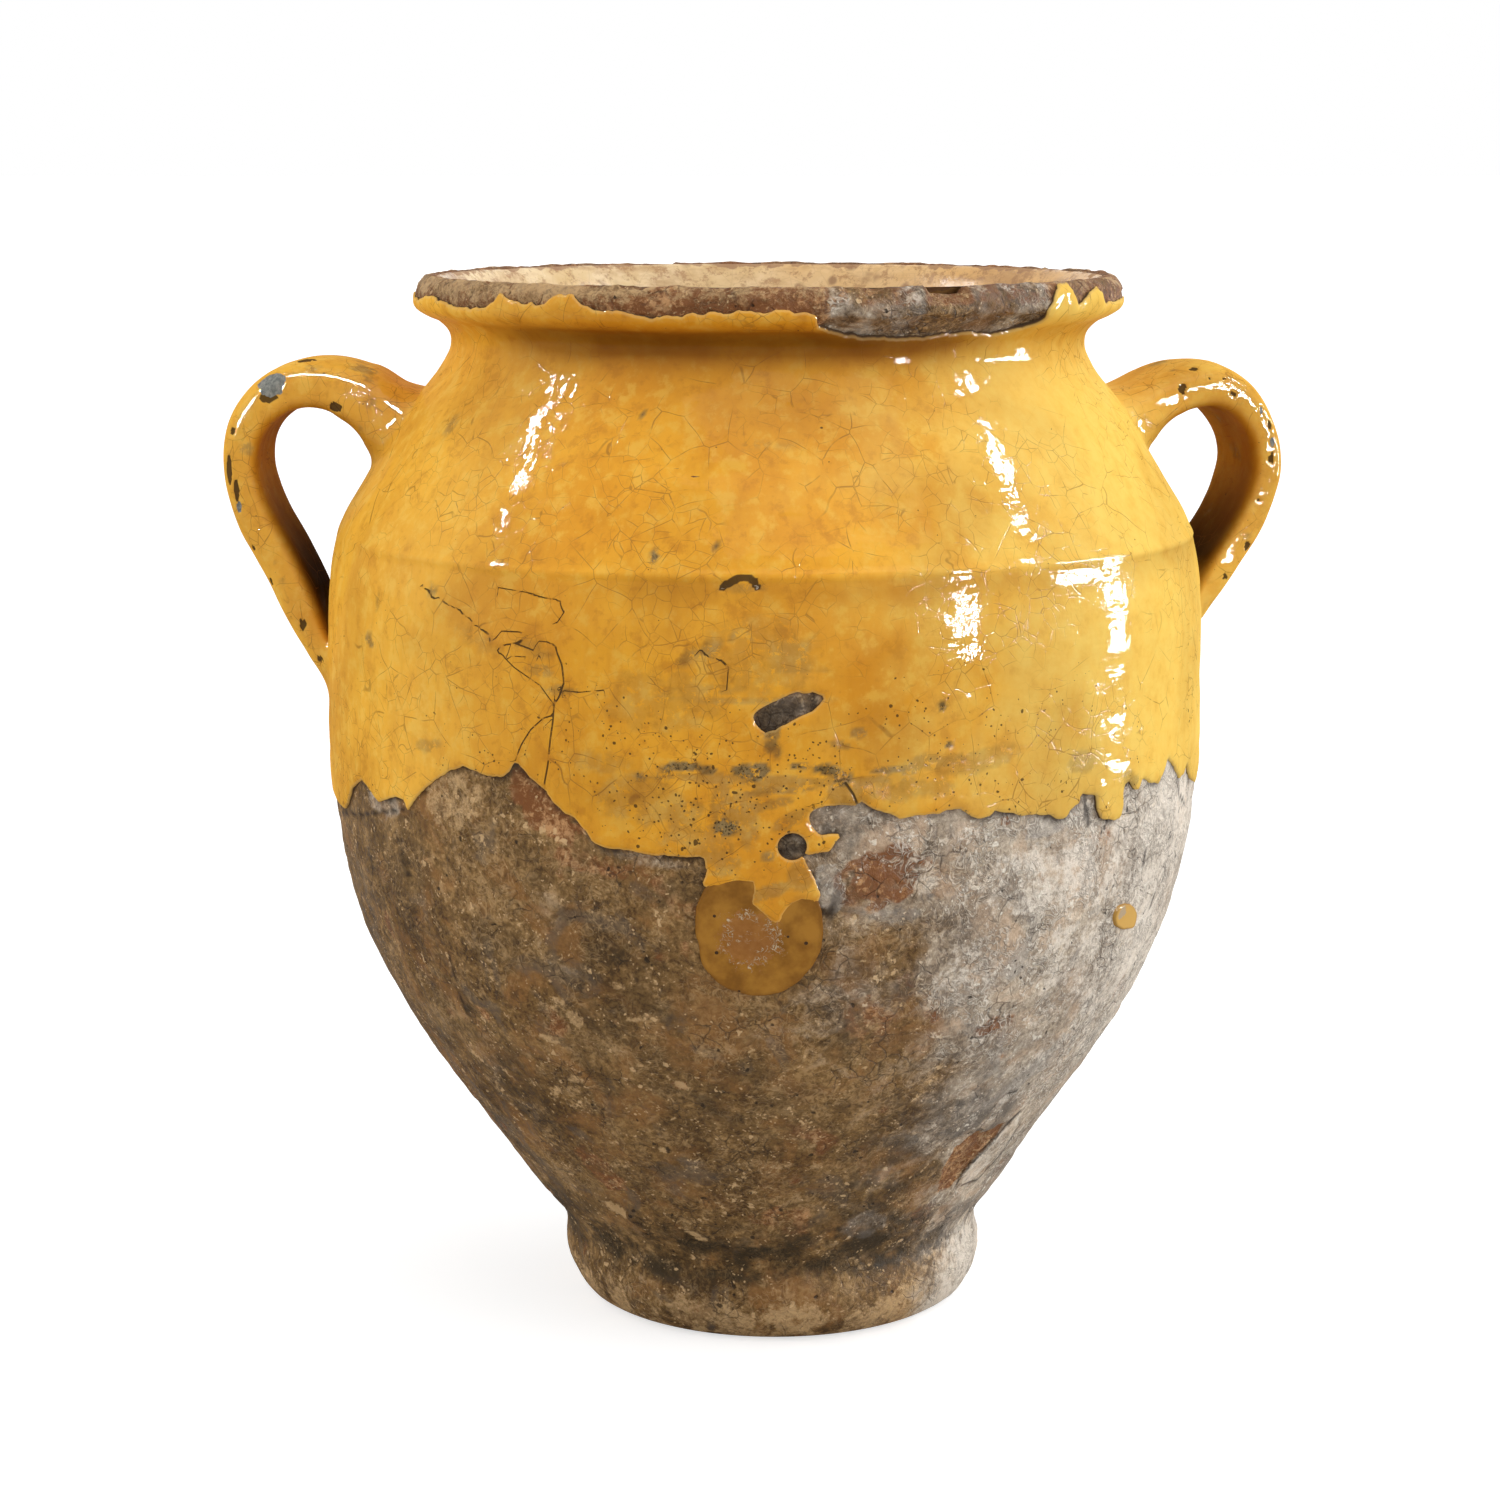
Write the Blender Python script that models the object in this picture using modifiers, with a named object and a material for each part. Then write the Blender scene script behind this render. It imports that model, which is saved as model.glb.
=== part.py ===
"""An old glazed earthenware confit jar: a turned pot in two luted sections, two strap handles and its glazes.

Metres, +Z up. The origin is the centre of the flat base. The handles lie along X, and the side with the
amber spot faces -Y.
"""

import math

import bmesh
import bpy
from mathutils import Vector
from mathutils.geometry import interpolate_bezier

# The turned wall, from the base up. Each rise starts where the one before it ends.
BASE_RADIUS = 0.0525
FOOT_RADIUS = 0.0615
FOOT_BEAD_HEIGHT = 0.013
FOOT_ROUNDING = 0.006
WAIST_RADIUS = 0.0605
WAIST_RISE = 0.012
BELLY_RADIUS = 0.1256
BOWL_RISE = 0.162
BOWL_START_ANGLE = math.radians(36)
JOIN_INSET = 0.0028
JOIN_RISE = 0.0405
SHOULDER_START_ANGLE = math.radians(25)
NECK_RADIUS = 0.0895
NECK_RISE = 0.0535
LIP_OVERHANG = 0.0115
LIP_ROLL_RADIUS = 0.006
LIP_RISE = 0.019
WALL = 0.008
FLOOR = 0.011
FLOOR_FILLET = 0.015
LIP_ROLL_START = math.radians(-80)
LIP_ROLL_END = math.radians(155)

# How far each end of a curve of the wall holds to its own direction, as a share of the curve's rise.
BOWL_START_PULL = 0.58
BOWL_END_PULL = 0.44
JOIN_PULL = 0.5
SHOULDER_START_PULL = 0.9
SHOULDER_END_PULL = 0.28
ROUND_PULL = 0.55

# The strap handles. Heights are above the join, and the reach is past the belly, to the strap's middle.
STRAP_THICKNESS = 0.0105
STRAP_WIDTH = 0.0345
STRAP_CREST_HEIGHT = 0.0405
STRAP_CREST_INSET = 0.0185
STRAP_ROOT_HEIGHT = 0.0240
STRAP_ROOT_DEPTH = 0.010
STRAP_OUTER_HEIGHT = 0.0205
STRAP_LEG_INSET = 0.0096
STRAP_LEG_DROP = 0.011

# The strap's section at each point of its route, as a share of its width and thickness.
STRAP_ROOT_FLARE = 1.6
STRAP_CREST_FLARE = 1.1
STRAP_LEG_FLARE = 1.0
STRAP_FOOT_FLARE = 1.12
STRAP_END_FLARE = 1.45
STRAP_ROUNDNESS = 0.75

# What differs between the two handles: how far each reaches out, how low its foot is pressed on, and how
# far it stands behind the pot's left or right.
LEFT_REACH = 0.0240
LEFT_FOOT_DROP = 0.035
LEFT_TURN = math.radians(1.5)
RIGHT_REACH = 0.0220
RIGHT_FOOT_DROP = 0.027
RIGHT_TURN = math.radians(12.5)

# The glazes. The gap keeps each coat, and each piece of clay, just off its neighbour.
GLAZE = 0.0008
AMBER_GLAZE = 0.0006
GAP = 0.0003
EDGE_BELOW_JOIN = 0.064
RUN_LENGTH = 0.020
RUN_WIDTH = 0.026
PATCH_RADIUS = 0.016
PATCH_BELOW_JOIN = 0.092
DROP_RADIUS = 0.003
DROP_BELOW_JOIN = 0.100
DROP_TURN = math.radians(55)

# Waves in the glaze's lower edge: how many go round the pot, their height and where they start.
EDGE_WAVES = (
    (3, 0.0020, 0.6),
    (7, 0.0030, 2.1),
    (13, 0.0022, 0.3),
    (29, 0.0012, 1.4),
)

SEGMENTS = 48
EDGE_STEPS = 120
STRAP_SIDES = 12
COAT_FLARE_POINTS = 2
PATCH_SIDES = 24

JOIN_RADIUS = BELLY_RADIUS - JOIN_INSET
WAIST_HEIGHT = FOOT_BEAD_HEIGHT + WAIST_RISE
BELLY_HEIGHT = WAIST_HEIGHT + BOWL_RISE
JOIN_HEIGHT = BELLY_HEIGHT + JOIN_RISE
NECK_HEIGHT = JOIN_HEIGHT + NECK_RISE
HEIGHT = NECK_HEIGHT + LIP_RISE


def bend(start, start_pull, end_pull, end, steps):
    """Points on a Bezier curve in the profile plane, as (radius, height), without the first."""
    ends = [Vector(point) for point in (start, start_pull, end_pull, end)]
    return [tuple(point) for point in interpolate_bezier(*ends, steps + 1)][1:]


def foot_outline():
    """The foot's outer side, from the edge of the flat base up to the waist."""
    edge = (BASE_RADIUS, 0.0)
    bead = (FOOT_RADIUS, FOOT_BEAD_HEIGHT)
    waist = (WAIST_RADIUS, WAIST_HEIGHT)
    pull = WAIST_RISE / 3
    into_bowl = (
        waist[0] - pull * math.sin(BOWL_START_ANGLE),
        waist[1] - pull * math.cos(BOWL_START_ANGLE),
    )
    outline = [edge]
    outline += bend(
        edge,
        (BASE_RADIUS + FOOT_ROUNDING / 2, 0.0),
        (FOOT_RADIUS, FOOT_BEAD_HEIGHT - FOOT_ROUNDING),
        bead,
        3,
    )
    outline += bend(bead, (bead[0], bead[1] + pull), into_bowl, waist, 2)
    return outline


def wall_outline():
    """The wall's outer side from the waist to the neck, and the places in it of the belly and the join."""
    waist = (WAIST_RADIUS, WAIST_HEIGHT)
    belly = (BELLY_RADIUS, BELLY_HEIGHT)
    join = (JOIN_RADIUS, JOIN_HEIGHT)
    neck = (NECK_RADIUS, NECK_HEIGHT)
    out = BOWL_START_PULL * BOWL_RISE
    outline = [waist]
    outline += bend(
        waist,
        (waist[0] + out * math.sin(BOWL_START_ANGLE), waist[1] + out * math.cos(BOWL_START_ANGLE)),
        (belly[0], belly[1] - BOWL_END_PULL * BOWL_RISE),
        belly,
        8,
    )
    outline += bend(
        belly,
        (belly[0], belly[1] + JOIN_PULL * JOIN_RISE),
        (join[0] + JOIN_PULL * JOIN_INSET, join[1] - JOIN_PULL * JOIN_RISE / 2),
        join,
        3,
    )
    at_join = len(outline) - 1
    back = SHOULDER_START_PULL * NECK_RISE
    outline += bend(
        join,
        (join[0] - back * math.sin(SHOULDER_START_ANGLE), join[1] + back * math.cos(SHOULDER_START_ANGLE)),
        (neck[0], neck[1] - SHOULDER_END_PULL * NECK_RISE),
        neck,
        6,
    )
    return outline, at_join


def lip_outline():
    """The neck's flare and the rolled lip, from the neck over the top to the inside of the mouth."""
    centre = Vector((NECK_RADIUS + LIP_OVERHANG - LIP_ROLL_RADIUS, HEIGHT - LIP_ROLL_RADIUS))
    steps = 7
    roll = []
    for step in range(steps + 1):
        angle = LIP_ROLL_START + (LIP_ROLL_END - LIP_ROLL_START) * step / steps
        roll.append(tuple(centre + LIP_ROLL_RADIUS * Vector((math.cos(angle), math.sin(angle)))))
    under = (centre.x, roll[0][1])
    neck = (NECK_RADIUS, NECK_HEIGHT)
    half_up = (neck[0], (neck[1] + under[1]) / 2)
    half_out = ((neck[0] + under[0]) / 2, under[1])
    flare = bend(neck, half_up, half_out, roll[0], 3)
    return flare + roll[1:]


def offset(outline, distance):
    """The outline moved square to itself: outwards for a positive distance, seen going up the outer side."""
    moved = []
    last = len(outline) - 1
    for place, point in enumerate(outline):
        before = Vector(outline[max(place - 1, 0)])
        after = Vector(outline[min(place + 1, last)])
        along = (after - before).normalized()
        moved.append((point[0] + distance * along.y, point[1] - distance * along.x))
    return moved


def raised(point, rise):
    return (point[0], point[1] + rise)


foot = foot_outline()
wall, at_join = wall_outline()
lip = lip_outline()
outside = foot + wall[1:] + lip
join_place = len(foot) - 1 + at_join
neck_place = len(foot) - 1 + len(wall) - 1


def inside_outline():
    """The hollow's outline, from the middle of the floor up to the throat, and its place of the join."""
    inner = offset(wall, -WALL)
    flat_radius = WAIST_RADIUS - WALL - FLOOR_FILLET
    corner = inner[0]
    pull = FLOOR_FILLET * ROUND_PULL
    from_wall = (
        corner[0] - pull * math.sin(BOWL_START_ANGLE),
        corner[1] - pull * math.cos(BOWL_START_ANGLE),
    )
    floor = [(0.0, FLOOR), (flat_radius, FLOOR)]
    floor += bend(floor[1], (flat_radius + pull, FLOOR), from_wall, corner, 3)
    return floor + inner[1:], len(floor) - 1 + at_join


inside, inside_join = inside_outline()
mouth = lip[-1]


def wall_radius(height):
    """The outer radius of the clay at a height on the wall."""
    for low, high in zip(wall, wall[1:]):
        if low[1] <= height <= high[1]:
            share = (height - low[1]) / (high[1] - low[1])
            return low[0] + share * (high[0] - low[0])
    return wall[-1][0]


def clear_scene():
    for item in list(bpy.data.objects):
        bpy.data.objects.remove(item, do_unlink=True)


def new_collection(name):
    collection = bpy.data.collections.new(name)
    bpy.context.scene.collection.children.link(collection)
    return collection


def new_material(name, color, roughness):
    material = bpy.data.materials.new(name)
    material.use_nodes = True
    shader = material.node_tree.nodes["Principled BSDF"]
    shader.inputs["Base Color"].default_value = (*color, 1.0)
    shader.inputs["Roughness"].default_value = roughness
    shader.inputs["Metallic"].default_value = 0.0
    material.diffuse_color = (*color, 1.0)
    return material


def hide_cutter(cutter):
    cutter.hide_render = True
    cutter.display_type = "WIRE"


def turned(name, outline, collection, closed=False):
    """A turned solid. The outline runs down its outer side, and joins its own start if it is closed."""
    points = [(radius, 0.0, height) for radius, height in outline]
    edges = [(place, place + 1) for place in range(len(points) - 1)]
    if closed:
        edges.append((len(points) - 1, 0))
    mesh = bpy.data.meshes.new(name)
    mesh.from_pydata(points, edges, [])
    item = bpy.data.objects.new(name, mesh)
    collection.objects.link(item)
    screw = item.modifiers.new("turn", "SCREW")
    screw.steps = SEGMENTS
    screw.render_steps = SEGMENTS
    screw.use_merge_vertices = True
    screw.merge_threshold = 0.00002
    screw.use_smooth_shade = True
    return item


def boolean(item, operation, other):
    modifier = item.modifiers.new(operation.lower() + " " + other.name, "BOOLEAN")
    modifier.operation = operation
    modifier.solver = "EXACT"
    modifier.object = other


def strap_route(reach, foot_drop):
    """The middle of a strap, as (radius, height, share of its section), from its top root to its foot."""
    outer = BELLY_RADIUS + reach
    root_height = JOIN_HEIGHT + STRAP_ROOT_HEIGHT
    foot_height = JOIN_HEIGHT - foot_drop
    end_height = foot_height - STRAP_ROOT_DEPTH
    return (
        (wall_radius(root_height) - STRAP_ROOT_DEPTH, root_height, STRAP_ROOT_FLARE),
        (outer - STRAP_CREST_INSET, JOIN_HEIGHT + STRAP_CREST_HEIGHT, STRAP_CREST_FLARE),
        (outer, JOIN_HEIGHT + STRAP_OUTER_HEIGHT, 1.0),
        (outer - STRAP_LEG_INSET, JOIN_HEIGHT - STRAP_LEG_DROP, STRAP_LEG_FLARE),
        (wall_radius(foot_height), foot_height, STRAP_FOOT_FLARE),
        (wall_radius(end_height) - STRAP_ROOT_DEPTH, end_height, STRAP_END_FLARE),
    )


def strap(name, route, turn, grow, collection):
    """A strap handle at a turn round the pot from +X, its faces moved out by grow, its ends in the wall."""
    section = bpy.data.curves.new(name + " section", "CURVE")
    section.dimensions = "2D"
    outline = section.splines.new("POLY")
    outline.points.add(STRAP_SIDES - 1)
    outline.use_cyclic_u = True
    half_thickness = STRAP_THICKNESS / 2 + grow
    half_width = STRAP_WIDTH / 2 + grow
    for place, point in enumerate(outline.points):
        angle = 2 * math.pi * (place + 0.5) / STRAP_SIDES
        across = math.copysign(abs(math.cos(angle)) ** STRAP_ROUNDNESS, math.cos(angle))
        through = math.copysign(abs(math.sin(angle)) ** STRAP_ROUNDNESS, math.sin(angle))
        point.co = (half_width * across, half_thickness * through, 0.0, 1.0)
    guide = bpy.data.objects.new(name + " section", section)
    collection.objects.link(guide)
    hide_cutter(guide)

    path = bpy.data.curves.new(name + " path", "CURVE")
    path.dimensions = "3D"
    path.resolution_u = 4
    path.use_fill_caps = True
    path.bevel_mode = "OBJECT"
    path.bevel_object = guide
    line = path.splines.new("BEZIER")
    line.bezier_points.add(len(route) - 1)
    for point, (radius, height, share) in zip(line.bezier_points, route):
        point.co = (radius, 0.0, height)
        point.handle_left_type = "AUTO"
        point.handle_right_type = "AUTO"
        point.radius = share
    swept = bpy.data.objects.new(name + " path", path)
    collection.objects.link(swept)
    bpy.context.view_layer.update()

    graph = bpy.context.evaluated_depsgraph_get()
    mesh = bpy.data.meshes.new_from_object(swept.evaluated_get(graph))
    mesh.name = name
    shape = bmesh.new()
    shape.from_mesh(mesh)
    bmesh.ops.remove_doubles(shape, verts=shape.verts, dist=0.00002)
    bmesh.ops.recalc_face_normals(shape, faces=shape.faces)
    shape.to_mesh(mesh)
    shape.free()
    item = bpy.data.objects.new(name, mesh)
    item.matrix_world = swept.matrix_world
    item.rotation_euler = (0.0, 0.0, turn)
    collection.objects.link(item)
    for helper in (swept, guide):
        bpy.data.objects.remove(helper, do_unlink=True)
    return item


def lowest_edge():
    """A height that the yellow glaze's lower edge stays above."""
    return JOIN_HEIGHT - EDGE_BELOW_JOIN - RUN_LENGTH - sum(wave[1] for wave in EDGE_WAVES)


def edge_height(angle):
    """How high the yellow glaze's ragged lower edge lies, at an angle round the pot from its front."""
    height = JOIN_HEIGHT - EDGE_BELOW_JOIN
    for count, rise, start in EDGE_WAVES:
        height += rise * math.sin(count * angle + start)
    away = BELLY_RADIUS * math.atan2(math.sin(angle), math.cos(angle)) / (RUN_WIDTH / 2)
    return height - RUN_LENGTH * math.exp(-(away**4))


def below_edge(name, drop, collection):
    """A wide ring of everything below the glaze's lower edge, lowered by drop."""
    inner = WAIST_RADIUS - WALL
    outer = BELLY_RADIUS + 2 * WALL
    shape = bmesh.new()
    corners = [(inner, 0.0, -WALL), (outer, 0.0, -WALL), (outer, 0.0, 0.0), (inner, 0.0, 0.0)]
    start = [shape.verts.new(corner) for corner in corners]
    sides = [shape.edges.new((start[place], start[place - 1])) for place in range(4)]
    bmesh.ops.spin(
        shape,
        geom=start + sides,
        cent=(0.0, 0.0, 0.0),
        axis=(0.0, 0.0, 1.0),
        angle=2 * math.pi,
        steps=EDGE_STEPS,
        use_merge=True,
    )
    for corner in shape.verts:
        if corner.co.z > -WALL / 2:
            corner.co.z = edge_height(math.atan2(corner.co.x, -corner.co.y)) - drop
    bmesh.ops.recalc_face_normals(shape, faces=shape.faces)
    mesh = bpy.data.meshes.new(name)
    shape.to_mesh(mesh)
    shape.free()
    item = bpy.data.objects.new(name, mesh)
    collection.objects.link(item)
    hide_cutter(item)
    return item


def glaze_spot(name, radius, drop, turn, collection):
    """A round spot of glaze on the wall: a short rod through the wall, to be cut to the coat's two faces."""
    height = JOIN_HEIGHT - drop
    out = wall_radius(height)
    shape = bmesh.new()
    bmesh.ops.create_cone(
        shape,
        cap_ends=True,
        segments=PATCH_SIDES,
        radius1=radius,
        radius2=radius,
        depth=out,
    )
    mesh = bpy.data.meshes.new(name)
    shape.to_mesh(mesh)
    shape.free()
    mesh.shade_smooth()
    mesh.set_sharp_from_angle(angle=math.radians(35))
    item = bpy.data.objects.new(name, mesh)
    item.rotation_euler = (math.radians(90), 0.0, turn)
    item.location = (out * math.sin(turn), -out * math.cos(turn), height)
    collection.objects.link(item)
    return item


clear_scene()
jar = new_collection("confit_jar")
cutters = new_collection("cutters")

bare_clay = new_material("bare_earthenware", (0.20, 0.14, 0.10), 0.85)
yellow = new_material("yellow_glaze", (0.80, 0.40, 0.06), 0.18)
lining = new_material("lining_glaze", (0.72, 0.50, 0.20), 0.35)
amber = new_material("amber_glaze", (0.42, 0.20, 0.04), 0.25)

# Filled turned shapes, just off the clay's outer face and at the glaze's faces, that the pieces are cut with.
clear_of_clay = offset(outside, GAP)
core = turned("core", [(0.0, HEIGHT + GAP)] + clear_of_clay[::-1] + [(0.0, -GAP)], cutters)
amber_skin = offset(outside, GAP + AMBER_GLAZE)
amber_face = turned("amber face", [(0.0, HEIGHT + WALL)] + amber_skin[::-1] + [(0.0, -WALL)], cutters)
clear_band = below_edge("below edge", 0.0, cutters)
amber_band = below_edge("below edge for amber", 2 * GAP, cutters)
for cutter in (core, amber_face):
    hide_cutter(cutter)

# The clay: the bowl with its foot and floor, the shoulder with its neck and lip, and the two straps.
half_gap = GAP / 2
bowl_outside = outside[:join_place] + [raised(outside[join_place], -half_gap)]
bowl_inside = inside[:inside_join] + [raised(inside[inside_join], -half_gap)]
bowl = turned("lower_section", bowl_inside + bowl_outside[::-1] + [(0.0, 0.0)], jar)
shoulder_outside = [raised(outside[join_place], half_gap)] + outside[join_place + 1 :]
shoulder_inside = [raised(inside[inside_join], half_gap)] + inside[inside_join + 1 :]
shoulder = turned("upper_section", shoulder_outside[::-1] + shoulder_inside, jar, closed=True)

handles = (
    ("left_handle", strap_route(LEFT_REACH, LEFT_FOOT_DROP), math.pi - LEFT_TURN),
    ("right_handle", strap_route(RIGHT_REACH, RIGHT_FOOT_DROP), RIGHT_TURN),
)
strap_skins = []
strap_cores = []
for handle_name, route, turn in handles:
    handle = strap(handle_name, route, turn, 0.0, jar)
    handle.data.shade_smooth()
    handle.data.set_sharp_from_angle(angle=math.radians(40))
    boolean(handle, "DIFFERENCE", core)
    handle.data.materials.append(bare_clay)
    strap_skins.append(strap(handle_name + " skin", route, turn, GAP + GLAZE, cutters))
    strap_cores.append(strap(handle_name + " core", route, turn, GAP, cutters))
for cutter in strap_skins + strap_cores:
    cutter.data.shade_smooth()
    hide_cutter(cutter)

# The yellow coat runs over the wall and both straps in one skin, from its ragged edge to a little way up
# the lip's flare.
coat_start = max(place for place, point in enumerate(wall) if point[1] < lowest_edge() - GLAZE)
coat_end = neck_place + COAT_FLARE_POINTS
coat_face = offset(outside, GAP + GLAZE)[len(foot) - 1 + coat_start : coat_end]
coat_profile = [(0.0, coat_face[-1][1])] + coat_face[::-1] + [(0.0, coat_face[0][1])]
coat = turned("outer_glaze", coat_profile, jar)
for skin in strap_skins:
    boolean(coat, "UNION", skin)
for cutter in [clear_band, core] + strap_cores:
    boolean(coat, "DIFFERENCE", cutter)

# The lining covers the floor and the inner wall up to the mouth.
hollow = inside + [mouth]
lining_back = offset(hollow, -GAP)
lining_face = offset(hollow, -GAP - GLAZE)
lining_back[0] = (0.0, FLOOR + GAP)
lining_face[0] = (0.0, FLOOR + GAP + GLAZE)
inner_glaze = turned("inner_glaze", lining_face + lining_back[::-1], jar)

# Amber glaze: the round spot under the yellow run, and a small drop beside it.
spots = (
    glaze_spot("amber_glaze_patch", PATCH_RADIUS, PATCH_BELOW_JOIN, 0.0, jar),
    glaze_spot("amber_glaze_drop", DROP_RADIUS, DROP_BELOW_JOIN, DROP_TURN, jar),
)
for spot in spots:
    boolean(spot, "INTERSECT", amber_face)
    boolean(spot, "INTERSECT", amber_band)
    boolean(spot, "DIFFERENCE", core)
    spot.data.materials.append(amber)

bowl.data.materials.append(bare_clay)
shoulder.data.materials.append(bare_clay)
coat.data.materials.append(yellow)
inner_glaze.data.materials.append(lining)
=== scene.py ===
"""The looks of an old glazed confit jar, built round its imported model.

Outlines and sizes are in millimetres and degrees, and meshes are made in metres. A place given as seen is read
from the photograph, in its frame of 1500 by 1500, and is carried through the camera onto the pot's wall.
"""

import itertools
import math

import bpy
import numpy as np
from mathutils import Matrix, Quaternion, Vector, kdtree


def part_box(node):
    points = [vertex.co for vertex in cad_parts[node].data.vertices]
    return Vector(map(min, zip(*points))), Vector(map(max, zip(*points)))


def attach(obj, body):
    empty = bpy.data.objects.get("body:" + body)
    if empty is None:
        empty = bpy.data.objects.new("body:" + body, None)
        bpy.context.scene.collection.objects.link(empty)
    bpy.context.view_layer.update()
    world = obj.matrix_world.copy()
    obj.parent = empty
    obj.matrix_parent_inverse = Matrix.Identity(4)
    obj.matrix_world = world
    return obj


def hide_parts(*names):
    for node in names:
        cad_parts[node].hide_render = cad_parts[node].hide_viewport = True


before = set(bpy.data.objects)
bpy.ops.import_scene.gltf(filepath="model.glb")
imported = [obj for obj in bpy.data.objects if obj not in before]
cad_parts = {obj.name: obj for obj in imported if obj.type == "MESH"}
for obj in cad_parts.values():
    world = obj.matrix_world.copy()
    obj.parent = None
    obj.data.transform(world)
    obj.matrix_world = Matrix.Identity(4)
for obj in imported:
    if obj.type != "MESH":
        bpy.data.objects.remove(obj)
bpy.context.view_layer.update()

# The room. A plain pale floor and even white light, as for a catalogue picture, with the camera about a
# metre off and a little higher than the mouth. Two windows far to the right, a narrow lamp high on each side
# and small ones that reach the handles alone make the highlights in the glaze.
CAMERA_PLACE = np.array((-4.0, -965.7, 334.8))
CAMERA_DIP = math.radians(10.19)
LENS = 80.3
FILM = 36.0
LAMPS_AIM_HEIGHT = 0.2
PANE_WIDTH_SHARE = 0.78
PANE_HEIGHT_SHARE = 0.80
FLOOR_SIZE = 80.0
FLOOR_WHITE = 0.62

camera = bpy.data.objects.new("camera", bpy.data.cameras.new("camera"))
camera.data.lens = LENS
camera.data.sensor_width = FILM
camera.location = CAMERA_PLACE / 1000
camera.rotation_euler = (math.radians(90) - CAMERA_DIP, 0, 0)
bpy.context.scene.collection.objects.link(camera)
bpy.context.scene.camera = camera
bpy.context.scene.view_settings.view_transform = "Standard"


def window(name, azimuth, height, distance, width, tall, brightness, roll=0, panes=(1, 1), glint_only=True):
    """A soft window of light facing the pot. Its azimuth is from the front round to the right."""
    turn = math.radians(azimuth)
    rise = math.radians(height)
    towards = Vector((math.sin(turn) * math.cos(rise), -math.cos(turn) * math.cos(rise), math.sin(rise)))
    facing = towards.to_track_quat("Z", "Y") @ Quaternion((0, 0, 1), math.radians(roll))
    columns, rows = panes
    lamps = []
    for column, row in itertools.product(range(columns), range(rows)):
        light = bpy.data.lights.new(name, "AREA")
        light.shape = "RECTANGLE"
        light.size = width / columns * (1 if columns == 1 else PANE_WIDTH_SHARE)
        light.size_y = tall / rows * (1 if rows == 1 else PANE_HEIGHT_SHARE)
        light.energy = brightness * math.pi * light.size * light.size_y
        lamp = bpy.data.objects.new(name, light)
        off = Vector(((column + 0.5) / columns * width - width / 2, (row + 0.5) / rows * tall - tall / 2, 0))
        lamp.location = Vector((0, 0, LAMPS_AIM_HEIGHT)) + distance * towards + facing @ off
        lamp.rotation_euler = facing.to_euler()
        lamp.visible_camera = False
        lamp.visible_diffuse = not glint_only
        bpy.context.scene.collection.objects.link(lamp)
        lamps.append(lamp)
    return lamps


window("near_window", 47.5, 9.0, 1.2, 0.13, 0.44, 170, panes=(2, 3))
window("far_window", 97, 0.8, 1.2, 0.15, 0.38, 140, panes=(1, 2))
window("far_window_top", 91, 14, 1.2, 0.50, 0.13, 110)
window("right_ceiling", 90, 42, 2.0, 0.09, 0.40, 200, roll=-42)
window("left_ceiling", -95, 44, 2.0, 0.030, 0.56, 300, roll=45)
window("overhead", 20, 66, 2.2, 1.8, 1.4, 1.0, glint_only=False)
left_glint = window("left_glint", -51, 20, 2.0, 0.26, 0.80, 420)
left_glint += window("left_glint", -30, 62, 2.0, 1.10, 0.24, 380)
right_glint = window("right_glint", 37, 4, 2.0, 0.50, 0.13, 240)


class Level:
    """A number that changes over a surface. Adding two makes the node that adds them, and | takes the greater."""

    def __init__(self, recipe, socket):
        self.recipe, self.socket = recipe, socket

    def __add__(self, other):
        return self.recipe.math("ADD", self, other)

    def __sub__(self, other):
        return self.recipe.math("SUBTRACT", self, other)

    def __rsub__(self, other):
        return self.recipe.math("SUBTRACT", other, self)

    def __mul__(self, other):
        return self.recipe.math("MULTIPLY", self, other)

    def __pow__(self, other):
        return self.recipe.math("POWER", self, other)

    def __or__(self, other):
        return self.recipe.math("MAXIMUM", self, other)

    def __lt__(self, other):
        return self.recipe.math("LESS_THAN", self, other)

    def __abs__(self):
        return self.recipe.math("ABSOLUTE", self, 0.0)

    def ease(self, low, high, out_low=0.0, out_high=1.0):
        """Carries values from low to high onto out_low to out_high, smoothly and no further."""
        eased = self.recipe.node("ShaderNodeMapRange", {"interpolation_type": "SMOOTHSTEP"}, Value=self,
                                 From_Min=low, From_Max=high, To_Min=out_low, To_Max=out_high)
        return Level(self.recipe, eased.outputs[0])


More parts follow.
